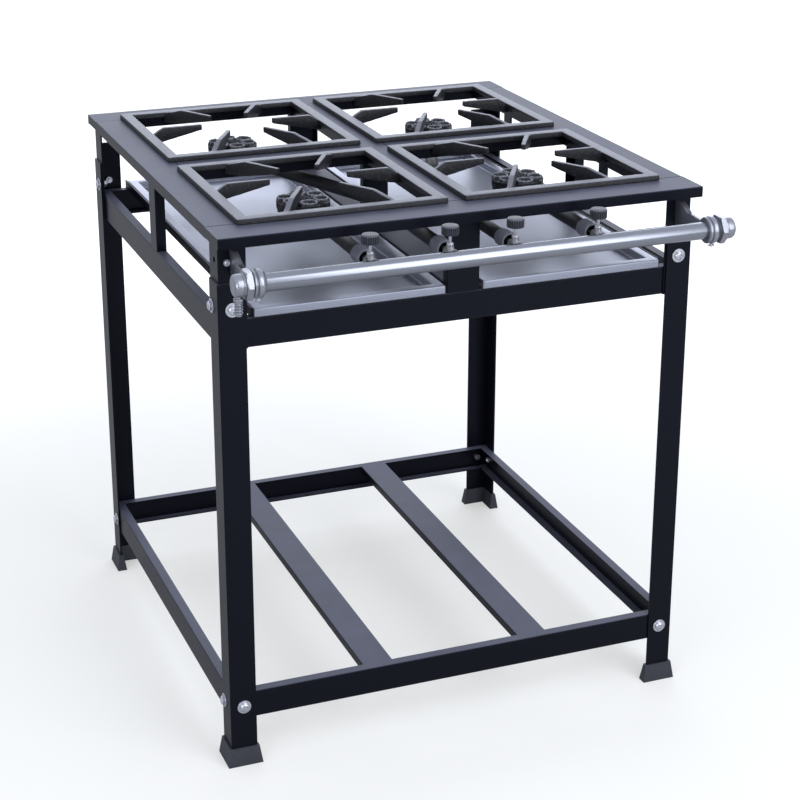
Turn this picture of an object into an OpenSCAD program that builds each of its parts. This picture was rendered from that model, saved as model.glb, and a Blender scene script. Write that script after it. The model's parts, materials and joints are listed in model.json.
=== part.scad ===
// Four-burner gas range on an open steel stand.
// The floor is z = 0 and the origin is the middle of the footprint.
// The cook stands at -Y, and +X is to the cook's right.
// Inside stand_frame() the origin is the middle of the four legs instead.

/* [Deck] */
// Height of the deck plate above the floor
deck_z = 787; // [720:1:900]
// Sheet thickness of the deck members
deck_t = 2; // [1.5:0.5:3]
// Depth of the lips that hang from every deck member
deck_lip = 15; // [10:1:22]
// Side of one square pot opening
opening = 278; // [250:1:320]
// Width of the left and right deck members
deck_side_w = 52; // [48:1:70]
// Width of the centre deck member
deck_centre_w = 46; // [44:1:60]
// Width of the front deck member
deck_front_w = 60; // [56:1:80]
// Width of the cross members between front and rear openings
deck_cross_w = 65; // [50:1:90]
// Width of the back deck member
deck_back_w = 57; // [50:1:80]
// How far the deck stands out past the legs at each side
overhang_x = 3; // [1:0.5:8]
// How far the deck stands out past the legs at front and back
overhang_y = 19; // [10:1:24]
// Outside bend radius of the folded sheet
bend_r = 1.8; // [0.5:0.1:1.9]

/* [Burner box] */
// Distance from the tray rails up to the top of the deck
box_h = 120; // [110:1:150]
// Height of the rails round the burner box
rail_h = 41; // [30:1:60]
// Sheet thickness of rails, uprights and slats
rail_t = 2; // [1.5:0.5:3]
// Depth of the flanges of rails and uprights
channel_depth = 14.5; // [12:0.5:18]
// Flange width of the angle posts
post_w = 38; // [34:1:50]
// Sheet thickness of the angle posts
post_t = 2.5; // [1.5:0.5:3.5]
// Width of the front and back uprights
upright_w = 48; // [30:1:60]
// Width of the left and right uprights
side_upright_w = 36; // [24:1:60]
// Width of the upright under the middle of the deck
centre_upright_w = 40; // [24:1:40]
// How far the back flange of a rear post stops under the deck lip
rear_post_cut = 28; // [5:1:40]

/* [Trays] */
// Sheet thickness of a tray
tray_t = 1; // [0.6:0.2:1.4]
// Height of a tray from floor to flange
tray_h = 13; // [10:1:18]
// Width of the flange round a tray
tray_flange = 14; // [8:1:25]
// Depth of the hem that hangs from the tray flange
tray_hem = 11; // [5:0.5:11]
// How far a closed tray stands out past the front rail
tray_reach = 4; // [1:1:10]
// Distance from the back edge of a closed tray to the back rail
tray_back_gap = 8; // [2:1:60]
// Width of the rail between the trays
centre_rail_w = 48; // [44:1:70]
// Gap between a tray and the centre rail
tray_side_gap = 4; // [2:0.5:8]
// Gap between a tray and its outer guide
tray_guide_gap = 1; // [0.5:0.25:3]
// Width of the foot of a tray guide
guide_foot = 14; // [6:1:14]

/* [Stand] */
// Flange width of the angle legs
leg_w = 38; // [36:1:50]
// Sheet thickness of the legs
leg_t = 2.5; // [1.5:0.5:3.5]
// How far the legs overlap the posts above the tray rails
leg_lap = 52; // [40:1:54]
// Height of the underside of the shelf rails
shelf_z = 71; // [50:1:300]
// Height of the shelf rails
shelf_h = 41; // [34:1:60]
// Width of a shelf slat
slat_w = 46; // [30:1:80]
// Depth of the lips of a shelf slat
slat_lip = 12; // [6:1:30]
// Distance of each slat from the middle
slat_x = 122.5; // [60:0.5:200]
// Height of a plastic foot
foot_h = 27; // [18:1:40]
// Thickness of the sole of a foot
foot_sole = 4; // [2:1:8]
// Wall of a foot at its top
foot_wall = 2.5; // [1.5:0.5:4]
// How far a foot flares at the floor
foot_flare = 4; // [1:0.5:8]

/* [Leg bolts] */
// Shank of the bolts in the legs
bolt_d = 6; // [5:1:8]
// Diameter of the pan heads of the bolts
bolt_head_d = 13; // [10:0.5:16]
// Height of a bolt head
bolt_head_h = 4.5; // [3:0.5:6]
// Width of the nuts across the flats
nut_af = 10; // [8:1:13]
// Height of a nut
nut_h = 5; // [4:0.5:6.5]
// Outside diameter of the washers
washer_d = 20; // [16:1:22]
// Thickness of the washers
washer_t = 1.6; // [1:0.2:2.4]
// Distance of a front bolt from the outside of the leg
bolt_inset = 20; // [18:1:24]
// Distance of a side bolt from the front or back of the leg
side_bolt_inset = 28; // [27:1:30]
// Height of the upper bolts above the tray rails
bolt_rise = 16; // [14:1:30]

/* [Gas manifold] */
// Outside diameter of the manifold tube
manifold_d = 24; // [20:1:28]
// Wall of the manifold tube
manifold_wall = 2; // [1.5:0.5:3]
// Depth of the gas line below the deck
gas_drop = 39; // [36:1:42]
// Distance of the manifold axis in front of the legs
manifold_reach = 94; // [80:1:110]
// Length over both end caps
manifold_len = 714; // [700:1:780]
// Outside diameter of the clamp ring on a bracket
ring_d = 38; // [34:1:44]
// Length of the clamp ring along the tube
ring_len = 18; // [16:1:30]
// Width of the hexagon on an end cap, across the flats
cap_af = 36.5; // [32:0.5:42]
// Width of the hexagon along the tube
cap_hex_w = 9.5; // [6:0.5:12]
// Diameter of the round part of an end cap
cap_d = 30; // [29:1:36]
// Length of the round part of an end cap
cap_len = 15; // [15:1:24]
// Largest diameter of the hose barb
barb_d = 13; // [9:0.5:14]
// Length of the hose barb from the wall of the cap
barb_len = 28; // [20:1:32]
// Thickness of a bracket's gusset
gusset_t = 8; // [6:0.5:10]
// Height of a gusset above the gas line where it meets the post
gusset_h = 18; // [14:1:22]
// Distance in front of the post at which a gusset narrows to its arm
gusset_knee = 34; // [24:1:44]
// Height of the arm of a bracket above the gas line
arm_h = 6; // [4:0.5:9]
// Diameter of the screw heads beside the brackets
dome_d = 8; // [6:0.5:9]
// Diameter of the hole in the side of each front post
side_hole_d = 9; // [6:0.5:12]

/* [Valves] */
// Distance of the front left burner's valve from the middle
valve_fl_x = 161; // [140:1:190]
// Distance of the rear left burner's valve from the middle
valve_rl_x = 49; // [42:1:80]
// Distance of the rear right burner's valve from the middle
valve_rr_x = 45; // [42:1:80]
// Distance of the front right burner's valve from the middle
valve_fr_x = 168; // [140:1:190]
// Distance of the valve spindles behind the manifold axis
valve_back = 32; // [28:1:36]
// Diameter of a valve body
valve_d = 15; // [14:0.5:18]
// Diameter of the upright neck of a valve
neck_d = 10; // [9:0.5:12]
// Height of the neck above the gas line
neck_h = 14; // [13:1:16]
// Diameter of a spindle
spindle_d = 4.5; // [4:0.25:6]

/* [Knobs] */
// Diameter of a knob
knob_d = 23.5; // [20:0.5:28]
// Height of a knob
knob_h = 13; // [11:0.5:18]
// Gap between a knob and its valve neck
knob_gap = 11; // [6:0.5:12]
// Number of grip ribs round a knob
knob_ribs = 24; // [16:1:36]
// Diameter of the grooves between the ribs
knob_groove_d = 1.8; // [1:0.1:2.4]

/* [Burners] */
// How far the left burners stand to the left of the middle of their openings
burner_left_shift = 8.5; // [0:0.5:10]
// How far the right burners stand to the left of the middle of their openings
burner_right_shift = 3; // [0:0.5:10]
// Diameter of a burner crown at its rim
crown_d = 76.5; // [70:0.5:90]
// Depth of the crown rim below the deck
crown_drop = 17; // [14:1:20]
// Height of the crown from its seat to the rim
crown_h = 10; // [8:0.5:12]
// Height of the petals above the rim
petal_h = 7; // [4:0.5:9]
// Number of petals round a crown
petals = 6; // [5:1:8]
// Diameter of a petal
petal_d = 21; // [18:0.5:24]
// Width of the slots between the petals
slot_w = 3.4; // [2:0.2:5]
// Wall of the burner castings
cast_wall = 4; // [3:0.5:5]
// Depth of the burner bowl below its crown
bowl_h = 30; // [29:1:34]
// Outside diameter of the mixer tubes
mixer_d = 19; // [16:0.5:20]
// Wall of the mixer tubes
mixer_wall = 2; // [1.5:0.5:3]
// Distance behind the legs' front at which the rear mixer tubes bend outward
mixer_bend = 212; // [120:1:260]
// Outside diameter of an air shutter
shutter_d = 25; // [23:0.5:27]
// Length of an air shutter
shutter_len = 28; // [20:1:34]
// Distance of a closed air shutter's mouth behind its valve's spindle
shutter_back = 14; // [13:1:26]
// How far an air shutter slides back
shutter_travel = 12; // [4:1:14]
// Width of the flat bars that carry the burners
bar_w = 25; // [20:1:30]
// Thickness of the flat bars
bar_t = 3; // [2:0.5:5]
// How far each bar lies behind the middle of its burners
bar_back = 10; // [0:1:14]

/* [Grates] */
// Outside of a square grate
grate = 300; // [290:1:310]
// Width of the bars of a grate
grate_bar_w = 18; // [14:0.5:26]
// Height of the bars of a grate
grate_bar_h = 7.5; // [6:0.5:10]
// Height of the flat finger tops above the bars
finger_rise = 8.5; // [4:0.5:12]
// Thickness of a finger
finger_t = 7; // [5:0.5:9]
// Distance from the middle of a grate to the finger tips
finger_tip_r = 57; // [45:1:66]
// Distance from the middle at which the flat finger tops end
finger_flat_r = 118; // [100:1:124]
// Depth of the finger tips
finger_tip_h = 8; // [5:0.5:10]
// Depth of the fingers below the deck
finger_drop = 6; // [3:0.5:9]
// Draft on the edges of a grate
grate_draft = 0.8; // [0.2:0.1:1.5]
// Gap between the locating lugs and the deck opening
lug_gap = 1; // [0.5:0.25:3]

/* [Hidden] */
$fn = 48;

// Clearances: a part that lifts off, a running fit and a bolt in its hole
seat_gap = 0.3;
run_gap = 0.08;
hole_gap = 0.1;
// Overlap that makes a cut or a join clean
eps = 1;

// Levels
plate_z = deck_z - deck_t;
lip_z = deck_z - deck_lip;
rail_z = deck_z - box_h;
rail_low = rail_z - rail_h;
leg_top = rail_z + leg_lap;
shelf_top = shelf_z + shelf_h;
gas_z = deck_z - gas_drop;

// Deck plan
deck_w = 2 * deck_side_w + deck_centre_w + 2 * opening;
deck_d = deck_front_w + deck_cross_w + deck_back_w + 2 * opening;
deck_front = -deck_d / 2;
deck_back = deck_d / 2;
opening_front_y = deck_front + deck_front_w;
opening_rear_y = opening_front_y + opening + deck_cross_w;
opening_x = deck_centre_w / 2;

// Middles of the pot openings
opening_mid_x = opening_x + opening / 2;
burner_front_y = opening_front_y + opening / 2;
burner_rear_y = opening_rear_y + opening / 2;

// Faces of the stand: outside of the legs, of the posts and of the box rails
stand_x = deck_w / 2 - overhang_x;
stand_front = -deck_d / 2 + overhang_y;
stand_back = deck_d / 2 - overhang_y;
post_x = stand_x - leg_t;
post_front = stand_front + leg_t;
post_back = stand_back - leg_t;
rail_x = post_x - post_t;
rail_front = post_front + post_t;
rail_back = post_back - post_t;

// Trays
tray_in = centre_rail_w / 2 + tray_side_gap;
guide_x = opening_x + opening;
tray_out = guide_x - tray_guide_gap;
tray_y0 = rail_front - tray_reach;
tray_y1 = rail_back - tray_back_gap;
tray_low = rail_z + seat_gap;
tray_top = rail_z + tray_h;
guide_t = 1.5;

// Gas line
manifold_y = stand_front - manifold_reach;
valve_y = manifold_y + valve_back;
cap_end = manifold_len / 2;
cap_hex_x = cap_end - cap_len;
ring_out = cap_hex_x - cap_hex_w;
ring_in = ring_out - ring_len;
ring_r = ring_d / 2;
neck_top = gas_z + neck_h;
knob_z = neck_top + knob_gap;
nipple_d = 9;
jet_hex_l = 5;
end_wall = 5;

// Brackets and their screws
gusset_out = ring_out - 1.5;
gusset_in = gusset_out - gusset_t;
lug_t = 3;
small_screw_d = 5;
dome_x = gusset_out + dome_d / 2 + 0.5;
inner_screw_x = gusset_out - gusset_t / 2;
inner_screw_z = gas_z - gusset_h / 2;
set_screw_d = 3;
set_screw_x = ring_in + ring_len / 2;

// Hose barb: it sinks into the wall of the left cap and its collar stays clear of the hexagon
barb_x = cap_end - cap_len / 2;
barb_bore = 6;
barb_collar_r = min(barb_d / 2 + 1, cap_len / 2 - 0.5);
barb_sink = (cap_d - manifold_d) / 2 - hole_gap - seat_gap;

// Burners
crown_seat = deck_z - crown_drop - crown_h;
bowl_low = crown_seat - bowl_h;
bar_low = bowl_low - bar_t;
bowl_r = crown_d / 2 - 2;
shutter_front = valve_y + shutter_back;
mixer_front = shutter_front + 8;
bend_y = stand_front + mixer_bend;
knuckle = 2;

// The stand is set back so that the footprint of the whole range is centred
front_reach = -manifold_y + max(ring_r, cap_af / 2 / cos(30));
stand_y = (front_reach - deck_back) / 2;

FL = [-1, -1];
FR = [1, -1];
RL = [-1, 1];
RR = [1, 1];
CORNERS = [FL, FR, RL, RR];

function opening_at(c) = [c[0] * opening_mid_x, c[1] < 0 ? burner_front_y : burner_rear_y];
function burner_at(c) = opening_at(c) - [c[0] < 0 ? burner_left_shift : burner_right_shift, 0];
function valve_x(c) =
    c[0] < 0 ? (c[1] < 0 ? -valve_fl_x : -valve_rl_x) : (c[1] < 0 ? valve_fr_x : valve_rr_x);

module stand_frame() {
    translate([0, stand_y, 0]) children();
}

// Mirrors a shape drawn for the front left corner to corner c
module to_corner(c) {
    mirror([c[0] > 0 ? 1 : 0, 0, 0]) mirror([0, c[1] > 0 ? 1 : 0, 0]) children();
}

// Section of a folded channel: the web lies on top at y = 0 and two lips hang down
module channel_section(w, h, t) {
    difference() {
        union() {
            translate([-w / 2, -h]) square([w, h - bend_r]);
            translate([-w / 2 + bend_r, -h]) square([w - 2 * bend_r, h]);
            for (s = [-1, 1]) translate([s * (w / 2 - bend_r), -bend_r]) circle(bend_r);
        }
        translate([-w / 2 + t, -h - eps]) square([w - 2 * t, h - t + eps]);
    }
}

// Section of an angle: the outer corner is at the origin and the flanges run along +x and +y
module angle_section(w, t) {
    difference() {
        union() {
            translate([bend_r, 0]) square([w - bend_r, w]);
            translate([0, bend_r]) square([w, w - bend_r]);
            translate([bend_r, bend_r]) circle(bend_r);
        }
        translate([t, t]) square([w, w]);
    }
}

// A channel along X with its web up
module channel_x(l, w, h, t) {
    rotate([90, 0, 90]) linear_extrude(l, center = true) channel_section(w, h, t);
}

// A channel along Y with its web up
module channel_y(l, w, h, t) {
    rotate([90, 0, 0]) linear_extrude(l, center = true) channel_section(w, h, t);
}

// A rail along X whose web faces -Y, with the web's face at y = 0
module rail_facing_front(l, h, depth, t) {
    rotate([90, 0, 0]) channel_x(l, h, depth, t);
}

// Block with drafted sides, standing on z = 0, w by d at its foot
module drafted_block(w, d, h, draft) {
    intersection() {
        rotate([90, 0, 0]) linear_extrude(d + eps, center = true)
            polygon([[-w / 2, 0], [w / 2, 0], [w / 2 - draft, h], [-w / 2 + draft, h]]);
        rotate([90, 0, 90]) linear_extrude(w + eps, center = true)
            polygon([[-d / 2, 0], [d / 2, 0], [d / 2 - draft, h], [-d / 2 + draft, h]]);
    }
}

// Deck members

module deck_colour() {
    color([0.16, 0.16, 0.18]) children();
}

// A deck member across the full width, with its two ends folded shut
module full_width_member(w) {
    channel_x(deck_w, w, deck_lip, deck_t);
    for (s = [-1, 1])
        translate([s * (deck_w - deck_t) / 2, 0, -deck_lip / 2])
            cube([deck_t, w - deck_t, deck_lip - deck_t], center = true);
}

module deck_front() {
    deck_colour() stand_frame() translate([0, deck_front + deck_front_w / 2, deck_z])
        full_width_member(deck_front_w);
}

module deck_back() {
    deck_colour() stand_frame() translate([0, deck_back - deck_back_w / 2, deck_z])
        full_width_member(deck_back_w);
}

module long_member(x, w) {
    deck_colour() stand_frame()
        translate([x, (opening_front_y + deck_back - deck_back_w) / 2, deck_z])
            channel_y(2 * opening + deck_cross_w, w, deck_lip, deck_t);
}

module deck_left() {
    long_member(-(deck_w - deck_side_w) / 2, deck_side_w);
}

module deck_right() {
    long_member((deck_w - deck_side_w) / 2, deck_side_w);
}

module deck_centre() {
    long_member(0, deck_centre_w);
}

module deck_cross_members() {
    deck_colour() stand_frame()
        for (s = [-1, 1])
            translate([s * opening_mid_x, opening_rear_y - deck_cross_w / 2, deck_z])
                channel_x(opening, deck_cross_w, deck_lip, deck_t);
}

// Posts and uprights of the burner box

module frame_colour() {
    color([0.13, 0.13, 0.15]) children();
}

module bolt_hole() {
    cylinder(h = 8 * leg_t, d = bolt_d + 2 * hole_gap, center = true);
}

// Puts a bolt drawn along +z, with its seat at z = 0, on the front or side flange of the front left leg
module upper_bolt_place(b) {
    bolt_place(b, rail_z + bolt_rise) children();
}

module lower_bolt_place(b) {
    bolt_place(b, shelf_z + shelf_h / 2) children();
}

module bolt_place(b, z) {
    if (b == 0)
        translate([-stand_x + bolt_inset, stand_front, z]) rotate([90, 0, 0]) children();
    else
        translate([-stand_x, stand_front + side_bolt_inset, z]) rotate([0, -90, 0]) children();
}

// An angle post: its side flange is notched at the deck lip, and cut shortens a back flange
module post(c, cut) {
    lip_y = c[1] < 0 ? opening_front_y - deck_t : -(deck_back - deck_back_w + deck_t);
    to_corner(c) difference() {
        translate([-post_x, post_front, rail_low])
            linear_extrude(plate_z - rail_low) angle_section(post_w, post_t);
        for (b = [0, 1]) upper_bolt_place(b) bolt_hole();
        translate([-post_x - eps, lip_y - hole_gap, lip_z - hole_gap]) cube([post_t + 2 * eps, post_w, deck_lip]);
        if (cut > 0)
            translate([-post_x + post_t, post_front - eps, lip_z - cut])
                cube([post_w, post_t + eps, plate_z - lip_z + cut + eps]);
        if (c[1] < 0) {
            bracket_holes();
            side_hole();
        }
    }
}

// Round hole in the side flange of the front left post
module side_hole() {
    translate([-post_x, post_front + post_w / 2 - post_t, gas_z]) rotate([0, 90, 0])
        cylinder(h = 4 * post_t, d = side_hole_d, center = true);
}

module front_posts() {
    frame_colour() stand_frame() {
        post(FL, 0);
        post(FR, 0);
    }
}

module rear_posts() {
    frame_colour() stand_frame() {
        post(RL, rear_post_cut);
        post(RR, rear_post_cut);
    }
}

// An upright channel with its web facing -Y, the web's face at y = 0
module upright(w, z0) {
    translate([0, 0, z0]) linear_extrude(plate_z - z0)
        rotate(180) channel_section(w, channel_depth, rail_t);
}

module upright_front() {
    frame_colour() stand_frame() translate([0, rail_front, 0]) upright(upright_w, rail_z);
}

module upright_back() {
    frame_colour() stand_frame() translate([0, rail_back, 0]) rotate(180) upright(upright_w, rail_z);
}

module uprights_side() {
    frame_colour() stand_frame()
        for (s = [-1, 1])
            translate([s * rail_x, 0, 0]) rotate(s * 90) upright(side_upright_w, rail_z);
}

module upright_centre() {
    frame_colour() stand_frame()
        translate([0, -channel_depth / 2, 0]) upright(centre_upright_w, tray_top);
}

// Rails of the burner box

// A rail that lies between two z levels, its web facing -Y at y = 0
module front_rail(l, z0, z1) {
    translate([0, 0, (z0 + z1) / 2]) rail_facing_front(l, z1 - z0, channel_depth, rail_t);
}

module box_rail_front() {
    frame_colour() stand_frame() translate([0, rail_front, 0]) front_rail(2 * rail_x, rail_low, rail_z);
}

module box_rail_back() {
    frame_colour() stand_frame() translate([0, rail_back, 0]) rotate(180)
        front_rail(2 * rail_x, rail_low, rail_z);
}

module box_rails_side() {
    frame_colour() stand_frame()
        for (s = [-1, 1])
            translate([s * rail_x, (rail_front + rail_back) / 2, 0]) rotate(s * 90)
                front_rail(rail_back - rail_front - 2 * channel_depth, rail_low, rail_z);
}

module tray_centre_rail() {
    frame_colour() stand_frame() translate([0, (rail_front + rail_back) / 2, tray_top])
        channel_y(rail_back - rail_front - 2 * channel_depth, centre_rail_w, tray_h, rail_t);
}

// An angle beside each tray, resting on the front and back rails
module tray_guides() {
    y0 = rail_front + rail_t;
    frame_colour() stand_frame()
        for (s = [-1, 1]) mirror([s < 0 ? 1 : 0, 0, 0]) {
            translate([guide_x, y0, rail_z]) cube([rail_t, rail_back - rail_t - y0, tray_h]);
            translate([guide_x - guide_foot, y0, rail_z])
                cube([guide_foot + eps, rail_back - rail_t - y0, guide_t]);
        }
}

// Flat bars bent to a wide U: each hangs inside the side members and carries one row of burners
module burner_bars() {
    span = 2 * (guide_x + deck_t);
    frame_colour() stand_frame() difference() {
        for (y = [burner_front_y, burner_rear_y]) translate([0, y + bar_back, 0]) {
            translate([-span / 2 - bar_t, -bar_w / 2, bar_low]) cube([span + 2 * bar_t, bar_w, bar_t]);
            for (s = [-1, 1])
                translate([s * (span + bar_t) / 2, 0, (bar_low + plate_z) / 2])
                    cube([bar_t, bar_w, plate_z - bar_low], center = true);
        }
        for (c = CORNERS)
            burner_screw_place(c) cylinder(h = 4 * bar_t, d = small_screw_d + 2 * hole_gap, center = true);
    }
}

// The place under a bar where a burner is screwed to it, with +z pointing down
module burner_screw_place(c) {
    p = burner_at(c);
    translate([p[0], p[1] + bar_back, bar_low]) rotate([180, 0, 0]) children();
}

module burner_screws() {
    reach = bar_t + 5;
    zinc() stand_frame() for (c = CORNERS)
        burner_screw_place(c) pan_head_screw(small_screw_d, 2 * small_screw_d, reach);
}

// Stand

module leg(c) {
    frame_colour() stand_frame() to_corner(c) difference() {
        translate([-stand_x, stand_front, foot_sole])
            linear_extrude(leg_top - foot_sole) angle_section(leg_w, leg_t);
        for (b = [0, 1]) {
            upper_bolt_place(b) bolt_hole();
            lower_bolt_place(b) bolt_hole();
        }
    }
}

module leg_fl() {
    leg(FL);
}

module leg_fr() {
    leg(FR);
}

module leg_rl() {
    leg(RL);
}

module leg_rr() {
    leg(RR);
}

// One arm of a foot round one flange of a leg, running along +x from the leg's corner
module foot_arm() {
    w = leg_w + 2 * (foot_wall + foot_flare);
    d = leg_t + 2 * (foot_wall + foot_flare);
    translate([leg_w / 2, leg_t / 2, 0]) drafted_block(w, d, foot_h, foot_flare);
}

module feet() {
    color([0.2, 0.2, 0.22]) stand_frame() for (c = CORNERS) to_corner(c) difference() {
        translate([-stand_x, stand_front, 0]) {
            foot_arm();
            mirror([1, -1, 0]) foot_arm();
        }
        translate([-stand_x - run_gap, stand_front - run_gap, foot_sole])
            linear_extrude(foot_h) foot_socket();
    }
}

// Plan of the slot in a foot that takes the end of a leg
module foot_socket() {
    side = leg_w + 2 * run_gap;
    wall = leg_t + 2 * run_gap;
    square([side, wall]);
    square([wall, side]);
}

module shelf_rail_front() {
    frame_colour() stand_frame() difference() {
        translate([0, post_front, 0]) front_rail(2 * post_x, shelf_z, shelf_top);
        for (c = [FL, FR]) to_corner(c) lower_bolt_place(0) bolt_hole();
    }
}

module shelf_rail_back() {
    frame_colour() stand_frame() difference() {
        translate([0, post_back, 0]) rotate(180) front_rail(2 * post_x, shelf_z, shelf_top);
        for (c = [RL, RR]) to_corner(c) lower_bolt_place(0) bolt_hole();
    }
}

module shelf_rails_side() {
    l = post_back - post_front - 2 * channel_depth;
    frame_colour() stand_frame() for (s = [-1, 1]) difference() {
        translate([s * post_x, 0, 0]) rotate(s * 90) front_rail(l, shelf_z, shelf_top);
        for (e = [-1, 1]) to_corner([s, e]) lower_bolt_place(1) bolt_hole();
    }
}

module shelf_slats() {
    l = post_back - post_front - 2 * channel_depth;
    frame_colour() stand_frame()
        for (s = [-1, 1])
            translate([s * slat_x, 0, shelf_top]) channel_y(l, slat_w, slat_lip, rail_t);
}

// Leg fasteners

module zinc() {
    color([0.72, 0.73, 0.75]) children();
}

// Thickness that an upper bolt and a lower bolt clamp
upper_grip = leg_t + post_t;
lower_grip = leg_t + rail_t;

module every_bolt_place() {
    stand_frame() for (c = CORNERS) to_corner(c) for (b = [0, 1]) {
        upper_bolt_place(b) {
            $grip = upper_grip;
            children();
        }
        lower_bolt_place(b) {
            $grip = lower_grip;
            children();
        }
    }
}

module leg_bolts() {
    zinc() every_bolt_place() {
        translate([0, 0, washer_t])
            pan_head_screw(bolt_d, bolt_head_d, washer_t + $grip + nut_h + 2, bolt_head_h);
    }
}

module leg_washers() {
    zinc() every_bolt_place() difference() {
        cylinder(h = washer_t, d = washer_d);
        translate([0, 0, -eps]) cylinder(h = washer_t + 2 * eps, d = bolt_d + 2 * hole_gap);
    }
}

module leg_nuts() {
    zinc() every_bolt_place() difference() {
        translate([0, 0, -$grip - nut_h]) cylinder(h = nut_h, d = nut_af / cos(30), $fn = 6);
        translate([0, 0, -$grip - nut_h - eps]) cylinder(h = nut_h + 2 * eps, d = bolt_d + 2 * run_gap);
    }
}

// Gas line

module cast_colour() {
    color([0.62, 0.63, 0.65]) children();
}

// Turns a revolved shape so that its axis runs along X through the manifold
module on_manifold(x) {
    translate([x, manifold_y, gas_z]) rotate([0, 90, 0]) children();
}

module gas_manifold() {
    color([0.83, 0.84, 0.86]) stand_frame() difference() {
        on_manifold(0) cylinder(h = 2 * (cap_end - end_wall), d = manifold_d, center = true);
        on_manifold(0) cylinder(h = 2 * cap_end, d = manifold_d - 2 * manifold_wall, center = true);
        for (c = CORNERS)
            translate([valve_x(c), manifold_y, gas_z]) rotate([-90, 0, 0])
                cylinder(h = manifold_d, d = nipple_d + 2 * hole_gap);
    }
}

// Side view of a bracket's gusset as [distance in front of the post, height above the gas line]
arm_end = manifold_reach + leg_t - ring_r + 4;
gusset_outline = [
    [0, gusset_h], [gusset_knee / 3, gusset_h], [gusset_knee, arm_h], [arm_end, arm_h - 1],
    [arm_end, -arm_h - 2], [gusset_knee, -arm_h - 4], [gusset_knee / 3, -gusset_h], [0, -gusset_h]
];

// Clamp ring along +x from its inner end: a cone, a round part, a groove and a collar
module clamp_ring() {
    r = ring_r;
    b = manifold_d / 2 + hole_gap;
    l = ring_len;
    rotate_extrude() polygon([
        [b, 0], [b + 1.5, 0], [r - 1, 0.3 * l], [r, 0.4 * l], [r, 0.6 * l], [r - 1, 0.66 * l],
        [r - 3, 0.7 * l], [r - 3, 0.78 * l], [r - 1, 0.8 * l], [r - 1, 0.95 * l], [r - 2, l], [b, l]
    ]);
}

module bracket(s) {
    cast_colour() stand_frame() mirror([s < 0 ? 1 : 0, 0, 0]) difference() {
        union() {
            on_manifold(ring_in) clamp_ring();
            difference() {
                translate([gusset_in, post_front, gas_z]) rotate([90, 0, 90])
                    mirror([1, 0, 0]) linear_extrude(gusset_t) polygon(gusset_outline);
                on_manifold(gusset_in + gusset_t / 2)
                    cylinder(h = 2 * gusset_t, d = manifold_d + 2 * hole_gap, center = true);
            }
            translate([dome_x, post_front, gas_z]) rotate([90, 0, 0]) cylinder(h = lug_t, d = dome_d + 2);
        }
        mirror([1, 0, 0]) bracket_holes();
        translate([set_screw_x, manifold_y, gas_z - ring_d])
            cylinder(h = ring_d, d = set_screw_d + 2 * run_gap);
    }
}

module bracket_left() {
    bracket(-1);
}

module bracket_right() {
    bracket(1);
}

// Places of the two screws that hold a bracket to the front left post: one from the front through
// the lug and one from behind into the gusset. Each is drawn along +z with its head seated at z = 0.
module dome_screw_place() {
    translate([-dome_x, post_front - lug_t, gas_z]) rotate([90, 0, 0]) children();
}

module inner_screw_place() {
    translate([-inner_screw_x, post_front + post_t, inner_screw_z]) rotate([-90, 0, 0]) children();
}

module bracket_holes() {
    hole = small_screw_d + 2 * run_gap;
    dome_screw_place() cylinder(h = 4 * lug_t, d = hole, center = true);
    inner_screw_place() translate([0, 0, -post_t - gusset_knee / 2]) cylinder(h = gusset_knee, d = hole);
}

// Pan head screw along +z with its head seated at z = 0
module pan_head_screw(d, head_d, reach, head_h = 3) {
    round_r = 0.6 * head_h;
    rotate_extrude() {
        square([head_d / 2, head_h - round_r]);
        square([head_d / 2 - round_r, head_h]);
        translate([head_d / 2 - round_r, head_h - round_r]) intersection() {
            circle(round_r);
            square(head_h);
        }
    }
    translate([0, 0, -reach]) cylinder(h = reach + head_h / 2, d = d);
}

module bracket_screws() {
    zinc() stand_frame() for (s = [-1, 1]) mirror([s > 0 ? 1 : 0, 0, 0]) {
        dome_screw_place() pan_head_screw(small_screw_d, dome_d, lug_t + post_t + 3, dome_d / 2 - 0.5);
        inner_screw_place() pan_head_screw(small_screw_d, 2 * small_screw_d, post_t + gusset_knee / 3);
        translate([-set_screw_x, manifold_y, gas_z - ring_r]) rotate([180, 0, 0])
            pan_head_screw(set_screw_d, 2 * set_screw_d, ring_r - manifold_d / 2 - seat_gap);
    }
}

// End cap: a hexagon and a round end, along +x from the clamp ring
module cap_body() {
    total = cap_hex_w + cap_len;
    round_r = 3;
    difference() {
        union() {
            rotate(30) cylinder(h = cap_hex_w, d = cap_af / cos(30), $fn = 6);
            rotate_extrude() {
                square([cap_d / 2 - round_r, total]);
                square([cap_d / 2, total - round_r]);
                translate([cap_d / 2 - round_r, total - round_r]) circle(round_r);
            }
        }
        translate([0, 0, -eps]) cylinder(h = total - end_wall + eps, d = manifold_d + 2 * hole_gap);
    }
}

module end_cap() {
    cast_colour() stand_frame() on_manifold(ring_out) cap_body();
}

// Ridged barb that takes the gas hose, along +z from the cap
module hose_barb() {
    r = barb_d / 2;
    pitch = 4;
    ridges = 4;
    land = 1;
    stem = barb_len - ridges * pitch;
    difference() {
        union() {
            cylinder(h = barb_len, r = r - 1.2);
            cylinder(h = stem - 3, r = barb_collar_r);
            for (i = [0:ridges - 1]) translate([0, 0, stem + i * pitch]) {
                cylinder(h = land, r = r);
                translate([0, 0, land]) cylinder(h = pitch - land - 0.6, r1 = r, r2 = r - 1.2);
            }
        }
        translate([0, 0, -eps]) cylinder(h = barb_len + 2 * eps, d = barb_bore);
    }
}

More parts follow.
